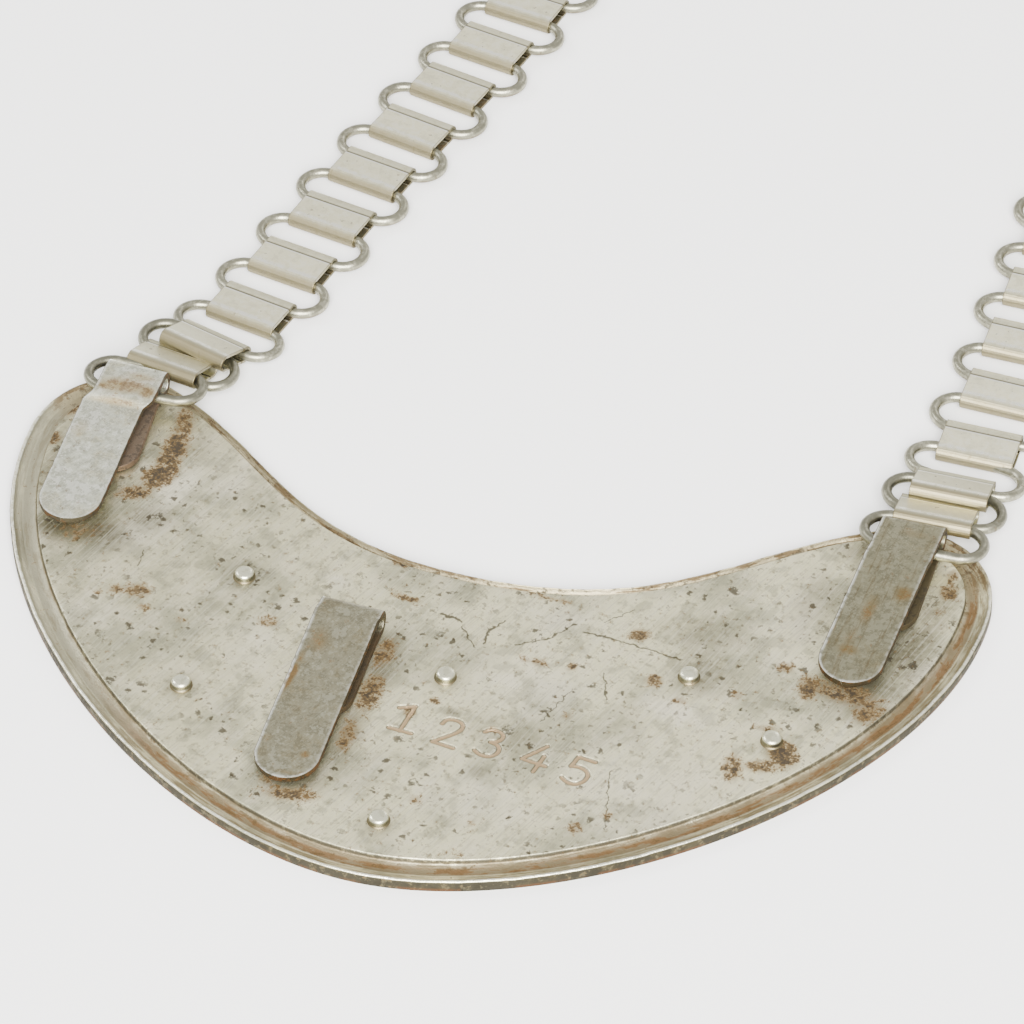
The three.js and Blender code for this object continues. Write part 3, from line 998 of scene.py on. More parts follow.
def ring_pattern(material):
    """Stadium rings of round wire: a circle pulled apart at its middle, swept with the wire."""
    tree = Pattern(
        "wire_ring",
        {
            "Bar spacing": "NodeSocketFloat",
            "Bend width": "NodeSocketFloat",
            "Pull": "NodeSocketFloat",
            "Wire radius": "NodeSocketFloat",
        },
    )
    circle, by_radius = "GeometryNodeCurvePrimitiveCircle", {"mode": "RADIUS"}
    round_line = tree.node(circle, by_radius, Resolution=44, Radius=tree.input("Bar spacing") * 0.5)
    place = tree.node("GeometryNodeInputPosition")
    split = tree.node("ShaderNodeSeparateXYZ", {}, place)
    sideways = split * (tree.input("Bend width") - 1.0)
    pulled = sideways + split.math("SIGN") * tree.input("Pull") * split.size().between(0.0, 0.0004)
    offset = tree.node("ShaderNodeCombineXYZ", {}, pulled)
    line = tree.node("GeometryNodeSetPosition", {}, Geometry=round_line, Offset=offset)
    wire = tree.node(circle, by_radius, Resolution=12, Radius=tree.input("Wire radius"))
    ring = tree.node("GeometryNodeCurveToMesh", {}, line, wire)
    tree.end(ring, material)
    return tree


def link_section():
    """The folded sheet's outline seen from its side, as (along, up) round the slot. The longer lap is on
    the near side and stands a little proud of the shorter one at the seam."""
    seam = SEAM_SHARE * LINK_LENGTH
    half = WIRE_RADIUS + WIRE_PLAY + LINK_SHEET / 2
    end = LINK_LENGTH / 2 - LINK_SHEET / 2
    bend = half
    line = []
    for i in range(9):
        y = lerp(seam, bend - end, i / 8)
        line.append((y, half + 0.06 * smooth(1.6, 0.0, seam - y)))
    for i in range(1, 12):
        angle = math.pi * i / 12
        line.append((bend - end - bend * math.sin(angle), half * math.cos(angle)))
    line.append((bend - end, -half))
    line.append((end - bend, -half))
    for i in range(1, 12):
        angle = math.pi * i / 12
        line.append((end - bend + bend * math.sin(angle), -half * math.cos(angle)))
    for i in range(6):
        y = lerp(end - bend, seam + 0.05, i / 5)
        line.append((y, half - 0.2 * smooth(1.0, 0.0, y - seam)))
    outer, inner = [], []
    for index, (y, z) in enumerate(line):
        a, b = line[max(index - 1, 0)], line[min(index + 1, len(line) - 1)]
        along = Vector((b[0] - a[0], b[1] - a[1])).normalized()
        normal = Vector((along.y, -along.x)) * (LINK_SHEET / 2)
        outer.append((y + normal.x, z + normal.y))
        inner.append((y - normal.x, z - normal.y))
    return outer + inner[::-1]


def link_pattern(material):
    """Sheet links: the section drawn out to the link's width, each point marked with its place on
    the link for the material."""
    tree = Pattern("sheet_link", {"Section": "NodeSocketObject", "Width": "NodeSocketFloat"})
    section = tree.node("GeometryNodeObjectInfo", {}, tree.input("Section"), out="Geometry")
    width = tree.input("Width")
    start = tree.node("ShaderNodeCombineXYZ", {}, width * -0.5)
    reach = tree.node("ShaderNodeCombineXYZ", {}, width)
    side = tree.node("GeometryNodeTransform", {}, Geometry=section, Translation=start)
    drawn = tree.node(
        "GeometryNodeExtrudeMesh", {}, Mesh=side, Offset=reach, Offset_Scale=1.0, Individual=False
    )
    back = tree.node("GeometryNodeFlipFaces", {}, Mesh=side)
    both = tree.tree.nodes.new("GeometryNodeJoinGeometry")
    tree.tree.links.new(back.socket, both.inputs[0])
    tree.tree.links.new(drawn.socket, both.inputs[0])
    joined = Value(tree, both.outputs[0])
    whole = tree.node("GeometryNodeMergeByDistance", {}, Geometry=joined, Distance=0.00001)
    here = tree.node("GeometryNodeInputPosition")
    settings = {"data_type": "FLOAT_VECTOR"}
    kept = tree.node("GeometryNodeStoreNamedAttribute", settings, Geometry=whole, Name="local", Value=here)
    tree.end(kept, material)
    return tree


def make_chain(sheet_material, wire_material):
    route = Route()
    links, join = chain_links(route)
    rings = ring_places(route, links)
    bend = RING_BAR_SPACING / 2 / math.cos(math.pi / 10)
    pull = LINK_WIDTH / 2 + RING_SPARE - bend * math.sin(math.pi / 10)
    ring_values = {
        "Bar spacing": RING_BAR_SPACING * MM,
        "Bend width": 1.04,
        "Pull": pull * MM,
        "Wire radius": WIRE_RADIUS * MM,
    }
    outline = link_section()
    mesh = bpy.data.meshes.new("link_section")
    mesh.from_pydata([(0, y * MM, z * MM) for y, z in outline], [], [tuple(range(len(outline)))])
    section = bpy.data.objects.new("link_section", mesh)
    bpy.context.scene.collection.objects.link(section)
    wire, sheet = ring_pattern(wire_material), link_pattern(sheet_material)
    flip = Matrix.Rotation(math.pi, 4, "Z")
    pieces = []
    cut = join + 1
    halves = (("left", links[:cut], rings[:cut]), ("right", links[cut:], rings[cut:]))
    for side, part, ring_part in halves:
        rng = random.Random(7 if side == "left" else 8)
        places = [link["place"] if link["away"] > 0 else link["place"] @ flip for link in part]
        tints = [rng.random() for _ in places]
        sheets = sheet.run("sheets_" + side, places, {"Section": section, "Width": LINK_WIDTH * MM}, tints)
        rounded = sheets.modifiers.new("rounded", "BEVEL")
        rounded.width = 0.07 * MM
        rounded.segments = 2
        rounded.limit_method = "ANGLE"
        rounded.angle_limit = math.radians(50)
        rounded.harden_normals = False
        wires = wire.run("wires_" + side, ring_part, ring_values, [rng.random() for _ in ring_part])
        wires.data.shade_smooth()
        pieces.append((side, sheets, wires))
    bpy.data.objects.remove(section)
    return pieces


# Stains, and painted shade by the hooks, on the plate: soft ovals of (x, y, radius across, radius along,
# turn, strength)
RUST = (
    (-54.6, 86.5, 1.6, 4.0, 0, 0.75),
    (-53.7, 79.5, 2.2, 4.2, 8, 1.0),
    (-54.0, 72.5, 2.6, 4.0, -25, 1.0),
    (-53.6, 84.0, 1.5, 2.4, 0, 0.8),
    (-53.9, 76.0, 2.0, 2.6, 0, 0.95),
    (-56.5, 67.6, 3.2, 1.8, 20, 0.9),
    (-72.9, 83.5, 1.8, 2.6, -20, 0.9),
    (-73.2, 76.0, 1.8, 1.8, 0, 0.85),
    (-49.0, 46.9, 2.6, 1.8, 0, 0.75),
    (-52.2, 46.3, 1.4, 1.2, 0, 0.7),
    (-46.9, 43.7, 1.3, 0.9, 0, 0.7),
    (-54.6, 44.9, 1.0, 0.8, 0, 0.6),
    (-40.6, 42.5, 1.2, 0.8, 0, 0.6),
    (-27.6, 45.9, 2.0, 1.5, 0, 0.65),
    (-8.6, 44.5, 1.8, 3.5, 0, 0.8),
    (-8.2, 35.5, 1.9, 4.5, 0, 0.9),
    (-8.8, 26.3, 1.6, 4.0, 0, 0.65),
    (-13.3, 12.3, 4.8, 1.5, 8, 0.85),
    (-17.6, 14.6, 1.5, 1.6, 30, 0.7),
    (60.1, 55.4, 6.0, 2.6, -5, 0.8),
    (54.6, 54.9, 1.8, 3.0, 10, 0.9),
    (64.4, 52.6, 2.6, 3.2, -20, 0.7),
    (70.3, 84.8, 1.0, 1.7, 0, 0.85),
    (70.4, 81.0, 1.5, 2.0, 0, 0.9),
    (70.1, 76.6, 0.8, 1.0, 0, 0.6),
    (27.4, 58.9, 1.9, 1.5, 20, 0.9),
    (32.0, 49.9, 1.6, 1.5, 0, 0.85),
    (50.3, 58.2, 1.6, 1.2, 0, 0.85),
    (54.2, 40.2, 2.6, 3.2, 30, 1.0),
    (50.8, 45.0, 2.6, 0.9, 10, 0.7),
    (51.6, 37.0, 3.0, 1.4, 10, 0.85),
    (47.7, 35.6, 1.7, 3.4, 10, 0.8),
    (-12.2, 64.1, 2.6, 0.8, -30, 0.85),
    (-9.0, 56.8, 3.4, 0.8, -12, 0.8),
    (-1.4, 33.5, 1.2, 1.4, 0, 0.75),
    (1.5, 36.9, 1.0, 0.9, 0, 0.7),
    (28.6, 17.4, 1.2, 1.5, 0, 0.75),
    (32.5, 21.3, 1.2, 0.7, 0, 0.85),
    (13.9, 14.2, 1.0, 0.9, 0, 0.6),
    (13.3, 7.3, 1.4, 0.8, 0, 0.75),
    (10.6, 63.0, 2.2, 0.6, -8, 0.85),
    (14.6, 62.5, 2.0, 0.6, -5, 0.75),
    (11.5, 33.4, 1.0, 0.8, 0, 0.6),
    (14.4, 48.9, 1.4, 1.1, 0, 0.85),
    (11.9, 49.2, 0.9, 0.7, 0, 0.8),
    (19.4, 49.4, 1.0, 1.1, 0, 0.8),
    (21.4, 39.2, 1.2, 0.9, 0, 0.7),
    (44.6, 50.4, 1.2, 0.8, 0, 0.75),
    (36.7, 47.0, 1.5, 0.8, 0, 0.8),
    (4.6, 16.3, 1.3, 1.1, 0, 0.7),
    (56.3, 32.6, 1.3, 0.8, 25, 0.9),
    (-61.8, 57.0, 3.5, 2.6, 0, 0.45),
    (-70.5, 69.0, 1.5, 3.4, 0, 0.35),
)
# Dark patches: dirt, with painted shade beside and under the three hooks
DIRT_AND_SHADE = (
    (70.0, 76.5, 2.8, 8.0, -15, 0.75),
    (67.0, 66.0, 3.2, 5.5, -20, 0.85),
    (65.0, 58.0, 6.0, 3.0, -10, 0.7),
    (-61.5, 59.5, 5.5, 2.6, 10, 0.8),
    (-57.8, 57.6, 5.5, 3.8, -15, 0.9),
    (-66.0, 57.4, 5.0, 3.6, 20, 0.9),
    (-52.5, 62.5, 4.0, 3.5, 20, 0.7),
    (-34.3, 54.8, 3.0, 3.4, 0, 0.75),
    (-36.0, 29.0, 2.9, 2.9, 0, 0.6),
    (0.7, 10.0, 2.9, 2.9, 0, 0.6),
    (1.8, 42.2, 3.2, 3.0, 0, 0.6),
    (38.3, 54.0, 5.2, 5.4, -20, 0.75),
    (36.0, 62.0, 7.0, 4.0, 10, 0.6),
    (52.4, 41.5, 2.9, 2.9, 0, 0.5),
    (-8.2, 42.0, 3.0, 9.0, 0, 0.8),
    (-8.6, 26.0, 2.6, 8.0, 0, 0.7),
    (-13.8, 16.0, 5.6, 3.6, 0, 0.6),
    (68.2, 68.0, 3.6, 13.0, -4, 0.75),
    (65.5, 52.0, 5.0, 4.0, 0, 0.7),
    (52.0, 72.5, 5.0, 9.0, 0, 0.5),
    (57.0, 86.0, 7.0, 4.0, 5, 0.6),
    (-71.5, 70.0, 2.0, 12.0, 0, 0.6),
    (-50.5, 80.0, 3.0, 5.0, 0, 0.5),
    (13.4, 33.0, 7.5, 3.6, -8, 0.5),
    (12.0, 24.5, 1.5, 1.2, 0, 0.8),
    (4.7, 35.2, 1.8, 1.0, 0, 0.9),
)
PALE = (
    (-50.4, 70.5, 2.8, 7.5, -18, 0.9),
    (-52.5, 58.5, 3.5, 5.0, -40, 0.7),
    (-43.5, 75.0, 4.5, 6.0, 0, 0.5),
    (-28.3, 41.0, 3.4, 8.0, 0, 0.5),
    (14.0, 44.0, 9.0, 7.0, 0, 0.6),
    (37.5, 44.5, 6.0, 3.0, -10, 0.9),
    (36.0, 28.0, 12.0, 10.0, 0, 0.5),
    (13.5, 19.0, 9.0, 5.0, 0, 0.5),
    (15.0, 59.0, 8.0, 3.0, -5, 0.5),
    (49.0, 68.0, 5.0, 9.0, 0, 0.4),
    (-20.5, 57.5, 3.0, 1.2, -10, 0.9),
    (-54.4, 40.5, 4.5, 4.0, 0, 0.5),
    (70.5, 62.5, 1.5, 8.0, -22, 0.8),
)

# Scratches on the plate, each from one point to another, in millimetres
SCRATCHES = (
    (19.0, 57.1, 24.5, 56.9, 0.16),
    (24.5, 56.9, 34.6, 55.4, 0.12),
    (-2.8, 54.9, 0.7, 54.3, 0.2),
    (1.0, 53.2, 4.1, 49.4, 0.1),
    (5.2, 50.6, 5.1, 53.6, 0.16),
    (5.1, 53.6, 7.1, 56.2, 0.12),
    (9.8, 51.7, 13.9, 53.8, 0.1),
    (13.9, 53.8, 17.6, 58.5, 0.09),
    (21.6, 60.1, 25.3, 64.0, 0.08),
    (24.4, 49.3, 26.2, 44.1, 0.1),
    (18.0, 37.0, 20.7, 45.1, 0.07),
    (-50.9, 55.7, -50.6, 52.0, 0.09),
    (30.5, 30.1, 32.9, 18.2, 0.07),
)

# Stains on the hooks' top leaves: (across, distance from the fold, radii, turn, strength)
HOOK_STAINS = {
    "hook_left": (
        (-0.5, 6.4, 4.8, 2.2, -6, 0.72),
        (3.4, 6.8, 1.8, 1.6, 0, 0.8),
        (-3.0, 7.2, 2.2, 1.0, 0, 0.7),
        (0.0, 9.6, 4.5, 0.9, 0, 0.6),
        (1.5, 3.8, 3.2, 1.2, 0, 0.5),
        (-3.2, 17.0, 1.6, 2.6, 0, 0.35),
    ),
    "hook_centre": (
        (-2.4, 9.6, 1.8, 3.0, -10, 0.5),
        (-4.3, 17.5, 0.7, 3.2, 4, 1.0),
        (-4.0, 13.5, 0.6, 2.0, 4, 0.5),
        (2.6, 31.3, 0.8, 0.8, 0, 0.75),
        (-4.0, 29.5, 1.2, 0.8, 0, 0.4),
        (0.8, 35.2, 2.6, 0.3, 0, 0.5),
    ),
    "hook_right": (
        (3.4, 16.6, 1.6, 1.6, 0, 0.7),
        (-0.6, 21.5, 1.2, 3.4, 6, 0.55),
        (-1.0, 30.0, 1.8, 1.2, 0, 0.6),
        (1.0, 4.0, 3.0, 1.0, 0, 0.35),
        (-1.5, 28.0, 1.2, 3.0, 0, 0.35),
    ),
}


# Steel


RUST_ORANGE = (0.16, 0.085, 0.017)
RUST_BROWN = (0.062, 0.037, 0.01)
RUST_DARK = (0.014, 0.01, 0.0045)


class Steel(Shader):
    """A steel surface built up in layers of colour over four noises of different sizes, with its roughness
    and metal changed under rust, soiling, painted shade and painted highlights."""

    def __init__(self, name, tone, rough):
        super().__init__(name)
        self.broad = self.noise(17, 2.0, 0.6)
        self.middle = self.noise(4.6, 3.0, 0.65, offset=5)
        self.small = self.noise(1.2, 3.0, 0.7, offset=3)
        self.grain = self.noise(0.34, 2.0, 0.65, offset=8)
        self.tone = color(*tone)
        self.rough = self.small.between(0.3, 0.7, rough - 0.06, rough + 0.06)
        self.metal = 1.0
        self.relief = self.grain * 0.35
        flat = self.node("ShaderNodeVectorMath", {"operation": "MULTIPLY"}, self.spot(), (1.0, 1.0, 0.0))
        settings = {"noise_dimensions": "2D"}
        shake = self.node("ShaderNodeTexNoise", settings, Vector=flat, Scale=0.9, Detail=2.0, out=1)
        shake = self.node("ShaderNodeVectorMath", {"operation": "SUBTRACT"}, shake, (0.5, 0.5, 0.5))
        shake = self.node("ShaderNodeVectorMath", {"operation": "MULTIPLY"}, shake, (1.1, 1.1, 0.0))
        self.shaken = self.node("ShaderNodeVectorMath", {"operation": "ADD"}, flat, shake)

    def height(self):
        """The surface point's height in millimetres."""
        return self.node("ShaderNodeSeparateXYZ", {}, self.spot(), out="Z")

    def layer(self, mask, tone, rough=None, metal=None):
        """Lays a colour over the steel where a mask is, and changes roughness and metal there."""
        self.tone = self.mix(mask, self.tone, color(*tone))
        if rough is not None:
            self.rough = self.rough * (1.0 - mask) + mask * rough
        if metal is not None:
            self.metal = self.metal * (1.0 - mask) + mask * metal

    def specks(self, spacing, share, radius, offset=0.0):
        """Ragged dots at random: one in a share of the cells of a spacing, up to a radius."""
        at = self.node("ShaderNodeVectorMath", {"operation": "ADD"}, self.shaken, (offset, 2 * offset, 0.0))
        settings = {"voronoi_dimensions": "2D"}
        cell = self.node("ShaderNodeTexVoronoi", settings, Vector=at, Scale=1 / spacing)
        chance = self.node("ShaderNodeSeparateColor", {}, Value(self, cell.socket.node.outputs["Color"]))
        reach = (chance - (1.0 - share)).clamp() * (radius / spacing / share)
        ragged = (self.grain - 0.5) * (1.2 * radius / spacing)
        return (reach - cell + ragged).between(0.0, 0.35 * radius / spacing)

    def streaks(self, turn, length, width, low, high, offset=0.0):
        """Fine lines along a direction in degrees on the plate."""
        lines = self.noise(1.0, 2.0, 0.6, self.stretched(-turn, (1 / length, 1 / width, 1 / width)), offset)
        return lines.between(low, high)

    def scratches(self, lines):
        """Distance from the nearest of some straight scratches, as a share of its width."""
        nearest = None
        for ax, ay, bx, by, width in lines:
            middle = to_frame(((ax + bx) / 2, (ay + by) / 2, 0)) / MM
            turn = math.atan2(by - ay, bx - ax)
            half = math.hypot(bx - ax, by - ay) / 2 / width
            place = (middle, (0.0, 0.0, turn), (width, width, 1.0))
            at = self.node("ShaderNodeMapping", {"vector_type": "TEXTURE"}, self.shaken, *place)
            at = self.node("ShaderNodeVectorMath", {"operation": "ABSOLUTE"}, at)
            at = self.node("ShaderNodeVectorMath", {"operation": "SUBTRACT"}, at, (half, 0.0, 0.0))
            at = self.node("ShaderNodeVectorMath", {"operation": "MAXIMUM"}, at, (0.0, 0.0, 0.0))
            gap = self.node("ShaderNodeVectorMath", {"operation": "LENGTH"}, at, out="Value")
            nearest = gap if nearest is None else nearest.least(gap)
        return nearest

    def rust(self, amount):
        """Rust where an amount is high: an orange rim, then brown, then dark crust, in ragged grains."""
        level = amount + (self.small - 0.5) * 2.2 + (self.grain - 0.5) * 1.6
        self.layer((amount - 0.1).between(0.0, 0.5) * 0.55, (0.16, 0.09, 0.028), 0.5, 0.8)
        self.layer(level.between(0.42, 0.55) * 0.65, RUST_ORANGE, 0.7, 0.5)
        self.layer(level.between(0.55, 0.68) * 0.9, RUST_BROWN, 0.8, 0.3)
        self.layer(level.between(0.85, 1.0) * 0.85, RUST_DARK, 0.85, 0.2)
        self.relief = self.relief - level.between(0.5, 0.9) * 0.5

    def finish(self, relief):
        self.set("Base Color", self.tone)
        self.set("Roughness", self.rough)
        self.set("Metallic", self.metal)
        self.bump(self.relief, relief)
        return self.material


def plate_steel():
    steel = Steel("plate_steel", (0.87, 0.825, 0.55), 0.42)
    inset = steel.attribute("inset")
    neck = steel.attribute("neck").clamp()
    field = inset.between(0.94, 1.0)
    height = steel.height()
    broad, middle, small = steel.broad, steel.middle, steel.small
    across = steel.node("ShaderNodeSeparateXYZ", {}, steel.spot(), out="X")
    right = across.between(-62.0, -35.0)

    steel.layer(across.between(-10.0, -60.0) * 0.5, (0.45, 0.425, 0.28))
    steel.layer(broad.between(0.46, 0.6) * 0.65, (0.42, 0.41, 0.28))
    steel.layer(middle.between(0.5, 0.62) * 0.4, (0.95, 0.88, 0.64))
    steel.layer(middle.between(0.47, 0.37) * 0.45, (0.27, 0.265, 0.18))
    steel.layer(steel.attribute("pale") * middle.between(0.4, 0.56, 0.4, 0.9), (0.92, 0.87, 0.68), 0.48)
    # Dark patches from the table: dirt, with painted shade beside and under the hooks
    dirt_and_shade = steel.attribute("dirt_and_shade") * (middle * 0.6 + small * 0.5).between(0.44, 0.6, 0.62, 1.0)
    steel.layer(dirt_and_shade * 0.92, (0.05, 0.038, 0.016), 0.5, 0.9)
    steel.layer(steel.streaks(72, 9, 0.22, 0.5, 0.62) * field * 0.3, (0.9, 0.87, 0.7), 0.34)
    steel.layer(steel.streaks(66, 6, 0.18, 0.52, 0.64, 4.4) * field * 0.3, (0.26, 0.24, 0.16))
    steel.layer(small.between(0.54, 0.64) * field * 0.35, (0.12, 0.1, 0.06))
    steel.layer(steel.scratches(SCRATCHES).between(1.9, 0.6) * 0.85, (0.05, 0.04, 0.02))

    crowd = field * (broad * 0.5 + middle * 0.5).between(0.42, 0.54, 0.5, 1.0)
    steel.layer(steel.specks(1.3, 0.6, 0.36, 5.0) * crowd * 0.7, (0.07, 0.057, 0.032), 0.55, 0.8)
    steel.layer(steel.specks(2.3, 0.5, 0.66, 0.0) * crowd * 0.9, (0.03, 0.022, 0.01), 0.6, 0.7)
    pits = steel.specks(5.0, 0.7, 1.2, 9.0) * small.between(0.44, 0.5)
    steel.layer(pits * crowd * 0.9, (0.025, 0.019, 0.0095), 0.65, 0.6)

    ring_x, ring_y = (steel.attribute(mark) * (1 / 7) for mark in ("round_x", "round_y"))
    flow = steel.node("ShaderNodeCombineXYZ", {}, ring_x, ring_y, inset * 4.0)
    flow = steel.noise(1.0, 4.0, 0.7, flow)
    band = inset.between(0.1, 0.2) * (1.0 - inset.between(0.4, 0.46))
    steel.layer(band * flow.between(0.42, 0.58, 0.2, 0.9), (0.24, 0.19, 0.1), 0.5, 0.9)
    channel = inset.between(0.42, 0.5) * (1.0 - inset.between(0.93, 0.97))
    steel.layer(channel * flow.between(0.6, 0.42, 0.5, 0.9), (0.15, 0.11, 0.055), 0.55, 0.9)
    bottom = inset.between(0.44, 0.54) * inset.between(0.9, 0.72) * right.between(0.0, 1.0, 0.25, 1.0)
    steel.layer(bottom * flow.between(0.42, 0.52) * 0.9, (0.1, 0.045, 0.009), 0.6, 0.6)
    steel.layer(channel * (flow * 0.6 + small * 0.4).between(0.52, 0.6) * 0.8, RUST_BROWN, 0.75, 0.5)
    left_rim = inset.between(0.1, 0.14) * inset.between(0.92, 0.86) * (1.0 - right)
    steel.layer(left_rim * flow.between(0.38, 0.5, 0.4, 0.75), (0.4, 0.385, 0.28), 0.45, 1.0)
    # Painted shade on the step from the channel up to the field, broken up by noise
    edge = inset.between(0.91, 0.94) * (1.0 - inset.between(0.95, 0.985))
    steel.layer(edge * small.between(0.35, 0.5, 0.4, 0.85), (0.05, 0.046, 0.034), 0.6, 0.8)
    # Painted highlight along the lip, broken up by noise and left off the neck border
    lip = inset.between(0.02, 0.05) * (1.0 - inset.between(0.1, 0.16))
    steel.layer(lip * small.between(0.42, 0.54, 0.3, 1.0) * (1.0 - neck) * 0.9, (0.96, 0.95, 0.82), 0.28, 1.0)
    # The outer wall: painted shade over its dark brown oxide, then brown mottling and an orange-brown fringe
    # at its foot
    wall = (1.0 - inset.between(0.015, 0.04)) * height.between(2.1, 1.8)
    steel.layer(wall * 0.97, (0.016, 0.012, 0.005), 0.75, 0.7)
    steel.layer(wall * (flow * 0.5 + small * 0.5).between(0.48, 0.56) * 0.75, (0.06, 0.05, 0.025), 0.6, 0.8)
    steel.layer(wall * small.between(0.55, 0.62) * 0.6, (0.13, 0.11, 0.06), 0.6, 0.8)
    fringe = wall * height.between(1.0, 0.3) * flow.between(0.44, 0.54)
    steel.layer(fringe * 0.85, (0.09, 0.035, 0.007), 0.6, 0.6)

    border = (1.0 - inset.between(0.86, 0.96)) * neck
    steel.layer(border * 0.8, (0.34, 0.285, 0.165), 0.48, 0.9)
    steel.layer(border * flow.between(0.5, 0.56) * 0.75, (0.08, 0.042, 0.012), 0.6, 0.7)
    steel.layer(border * small.between(0.54, 0.6) * 0.6, RUST_DARK, 0.8, 0.4)

    steel.rust(steel.attribute("rust") * field)
    groove = steel.attribute("groove")
    # Painted shade on the walls of the stamped grooves, then the grooves' peach floors
    steel.layer(groove.between(0.05, 0.5) * 0.8, (0.055, 0.042, 0.022))
    steel.layer(groove.between(0.6, 0.95) * 0.85, (0.55, 0.39, 0.22), 0.42, 0.95)
    return steel.finish(0.16)


def hook_steel(name, tone, worn_tone, base_tone, streaky):
    steel = Steel(name + "_steel", tone, 0.38)
    edge, wall, base, stain = (steel.attribute(mark) for mark in ("edge", "wall", "base", "stain"))
    middle, small, grain = steel.middle, steel.small, steel.grain
    steel.layer(middle.between(0.49, 0.57) * 0.7, [v * 0.6 for v in tone], 0.46)
    steel.layer(middle.between(0.46, 0.38) * 0.5, [tone[0] * 0.72, tone[1] * 0.64, tone[2] * 0.5], 0.46)
    patch = (middle * 0.5 + small * 0.5 + grain * 0.12) - 0.06
    steel.layer(patch.between(0.52, 0.57) * 0.6, worn_tone, 0.32)
    steel.layer(patch.between(0.47, 0.42) * 0.55, [v * 0.5 for v in tone], 0.5)
    steel.layer(grain.between(0.55, 0.63) * 0.35, worn_tone, 0.32)
    steel.layer(steel.streaks(84, 12, 0.6, 0.53, 0.66) * streaky, (0.12, 0.09, 0.045), 0.5)
    steel.layer(steel.streaks(60, 5, 0.2, 0.54, 0.64, 2.0) * 0.25, worn_tone)
    steel.layer(steel.specks(2.2, 0.5, 0.5, 2.0) * grain.between(0.42, 0.54) * 0.8, RUST_BROWN, 0.7, 0.4)
    amount = stain + (small - 0.5) * 1.8 + (grain - 0.5) * 0.9
    steel.layer(stain.between(0.0, 0.7) * 0.7, (tone[0] * 0.6, tone[1] * 0.44, tone[2] * 0.24), 0.46, 0.9)
    steel.layer(amount.between(0.45, 0.7) * 0.7, (0.11, 0.055, 0.014), 0.6, 0.7)
    steel.layer(amount.between(0.75, 0.95) * 0.7, RUST_BROWN, 0.75, 0.4)
    # Painted highlight on the edges of the top face
    steel.layer(edge * small.between(0.4, 0.52, 0.25, 0.9), (0.94, 0.95, 0.86), 0.24, 1.0)
    # Painted shade on the strip's side walls, then rust-coloured spots on them
    steel.layer(wall * 0.96, (0.028, 0.02, 0.009), 0.6, 0.8)
    steel.layer(wall * small.between(0.5, 0.58) * 0.65, (0.09, 0.038, 0.009), 0.6, 0.7)
    steel.layer(base * 0.94, base_tone, 0.6, 0.8)
    steel.layer(base * small.between(0.5, 0.58) * 0.65, RUST_DARK, 0.7, 0.5)
    return steel.finish(0.14)


def stud_steel():
    steel = Steel("stud_steel", (0.8, 0.79, 0.6), 0.28)
    steel.layer(steel.small.between(0.48, 0.58) * 0.5, (0.45, 0.43, 0.29), 0.36)
    # Painted shade on the stud's side below its head
    side = steel.height().between(FIELD_HEIGHT + 1.05, FIELD_HEIGHT + 0.75)
    foot = steel.height().between(FIELD_HEIGHT + 0.26, FIELD_HEIGHT + 0.16)
    steel.layer(side * 0.85, (0.06, 0.052, 0.032), 0.45)
    steel.layer(foot * 0.85, (0.16, 0.13, 0.07), 0.45)
    steel.layer(steel.specks(0.9, 0.4, 0.2, 3.0) * 0.6, RUST_BROWN, 0.6, 0.5)
    return steel.finish(0.06)


def chain_steel(name, tone, worn_tone):
    """The finish that the chain's sheet and wire share."""
    steel = Steel(name, tone, 0.36)
    middle, small = steel.middle, steel.small
    steel.layer(steel.attribute("tint") * 0.4, [v * 0.72 for v in tone])
    steel.layer(middle.between(0.48, 0.58) * 0.3, [v * 0.75 for v in tone], 0.46)
    steel.layer(small.between(0.52, 0.6) * 0.45, worn_tone, 0.3)
    steel.layer(small.between(0.46, 0.38) * 0.3, [v * 0.6 for v in tone], 0.46)
    steel.layer(steel.height().between(2.95, 3.3) * 0.55, [v * 0.5 for v in tone], 0.42)
    # Painted shade on the parts low by the table, then orange-brown patches on the same low parts
    low = steel.height().between(1.6, 0.3)
    steel.layer(low * 0.75, (0.12, 0.09, 0.042), 0.45)
    steel.layer(low * middle.between(0.48, 0.58) * 0.6, (0.14, 0.065, 0.02), 0.5, 0.8)
    steel.layer(steel.specks(1.9, 0.4, 0.28, 6.0) * 0.6, (0.1, 0.075, 0.04), 0.6, 0.7)
    return steel


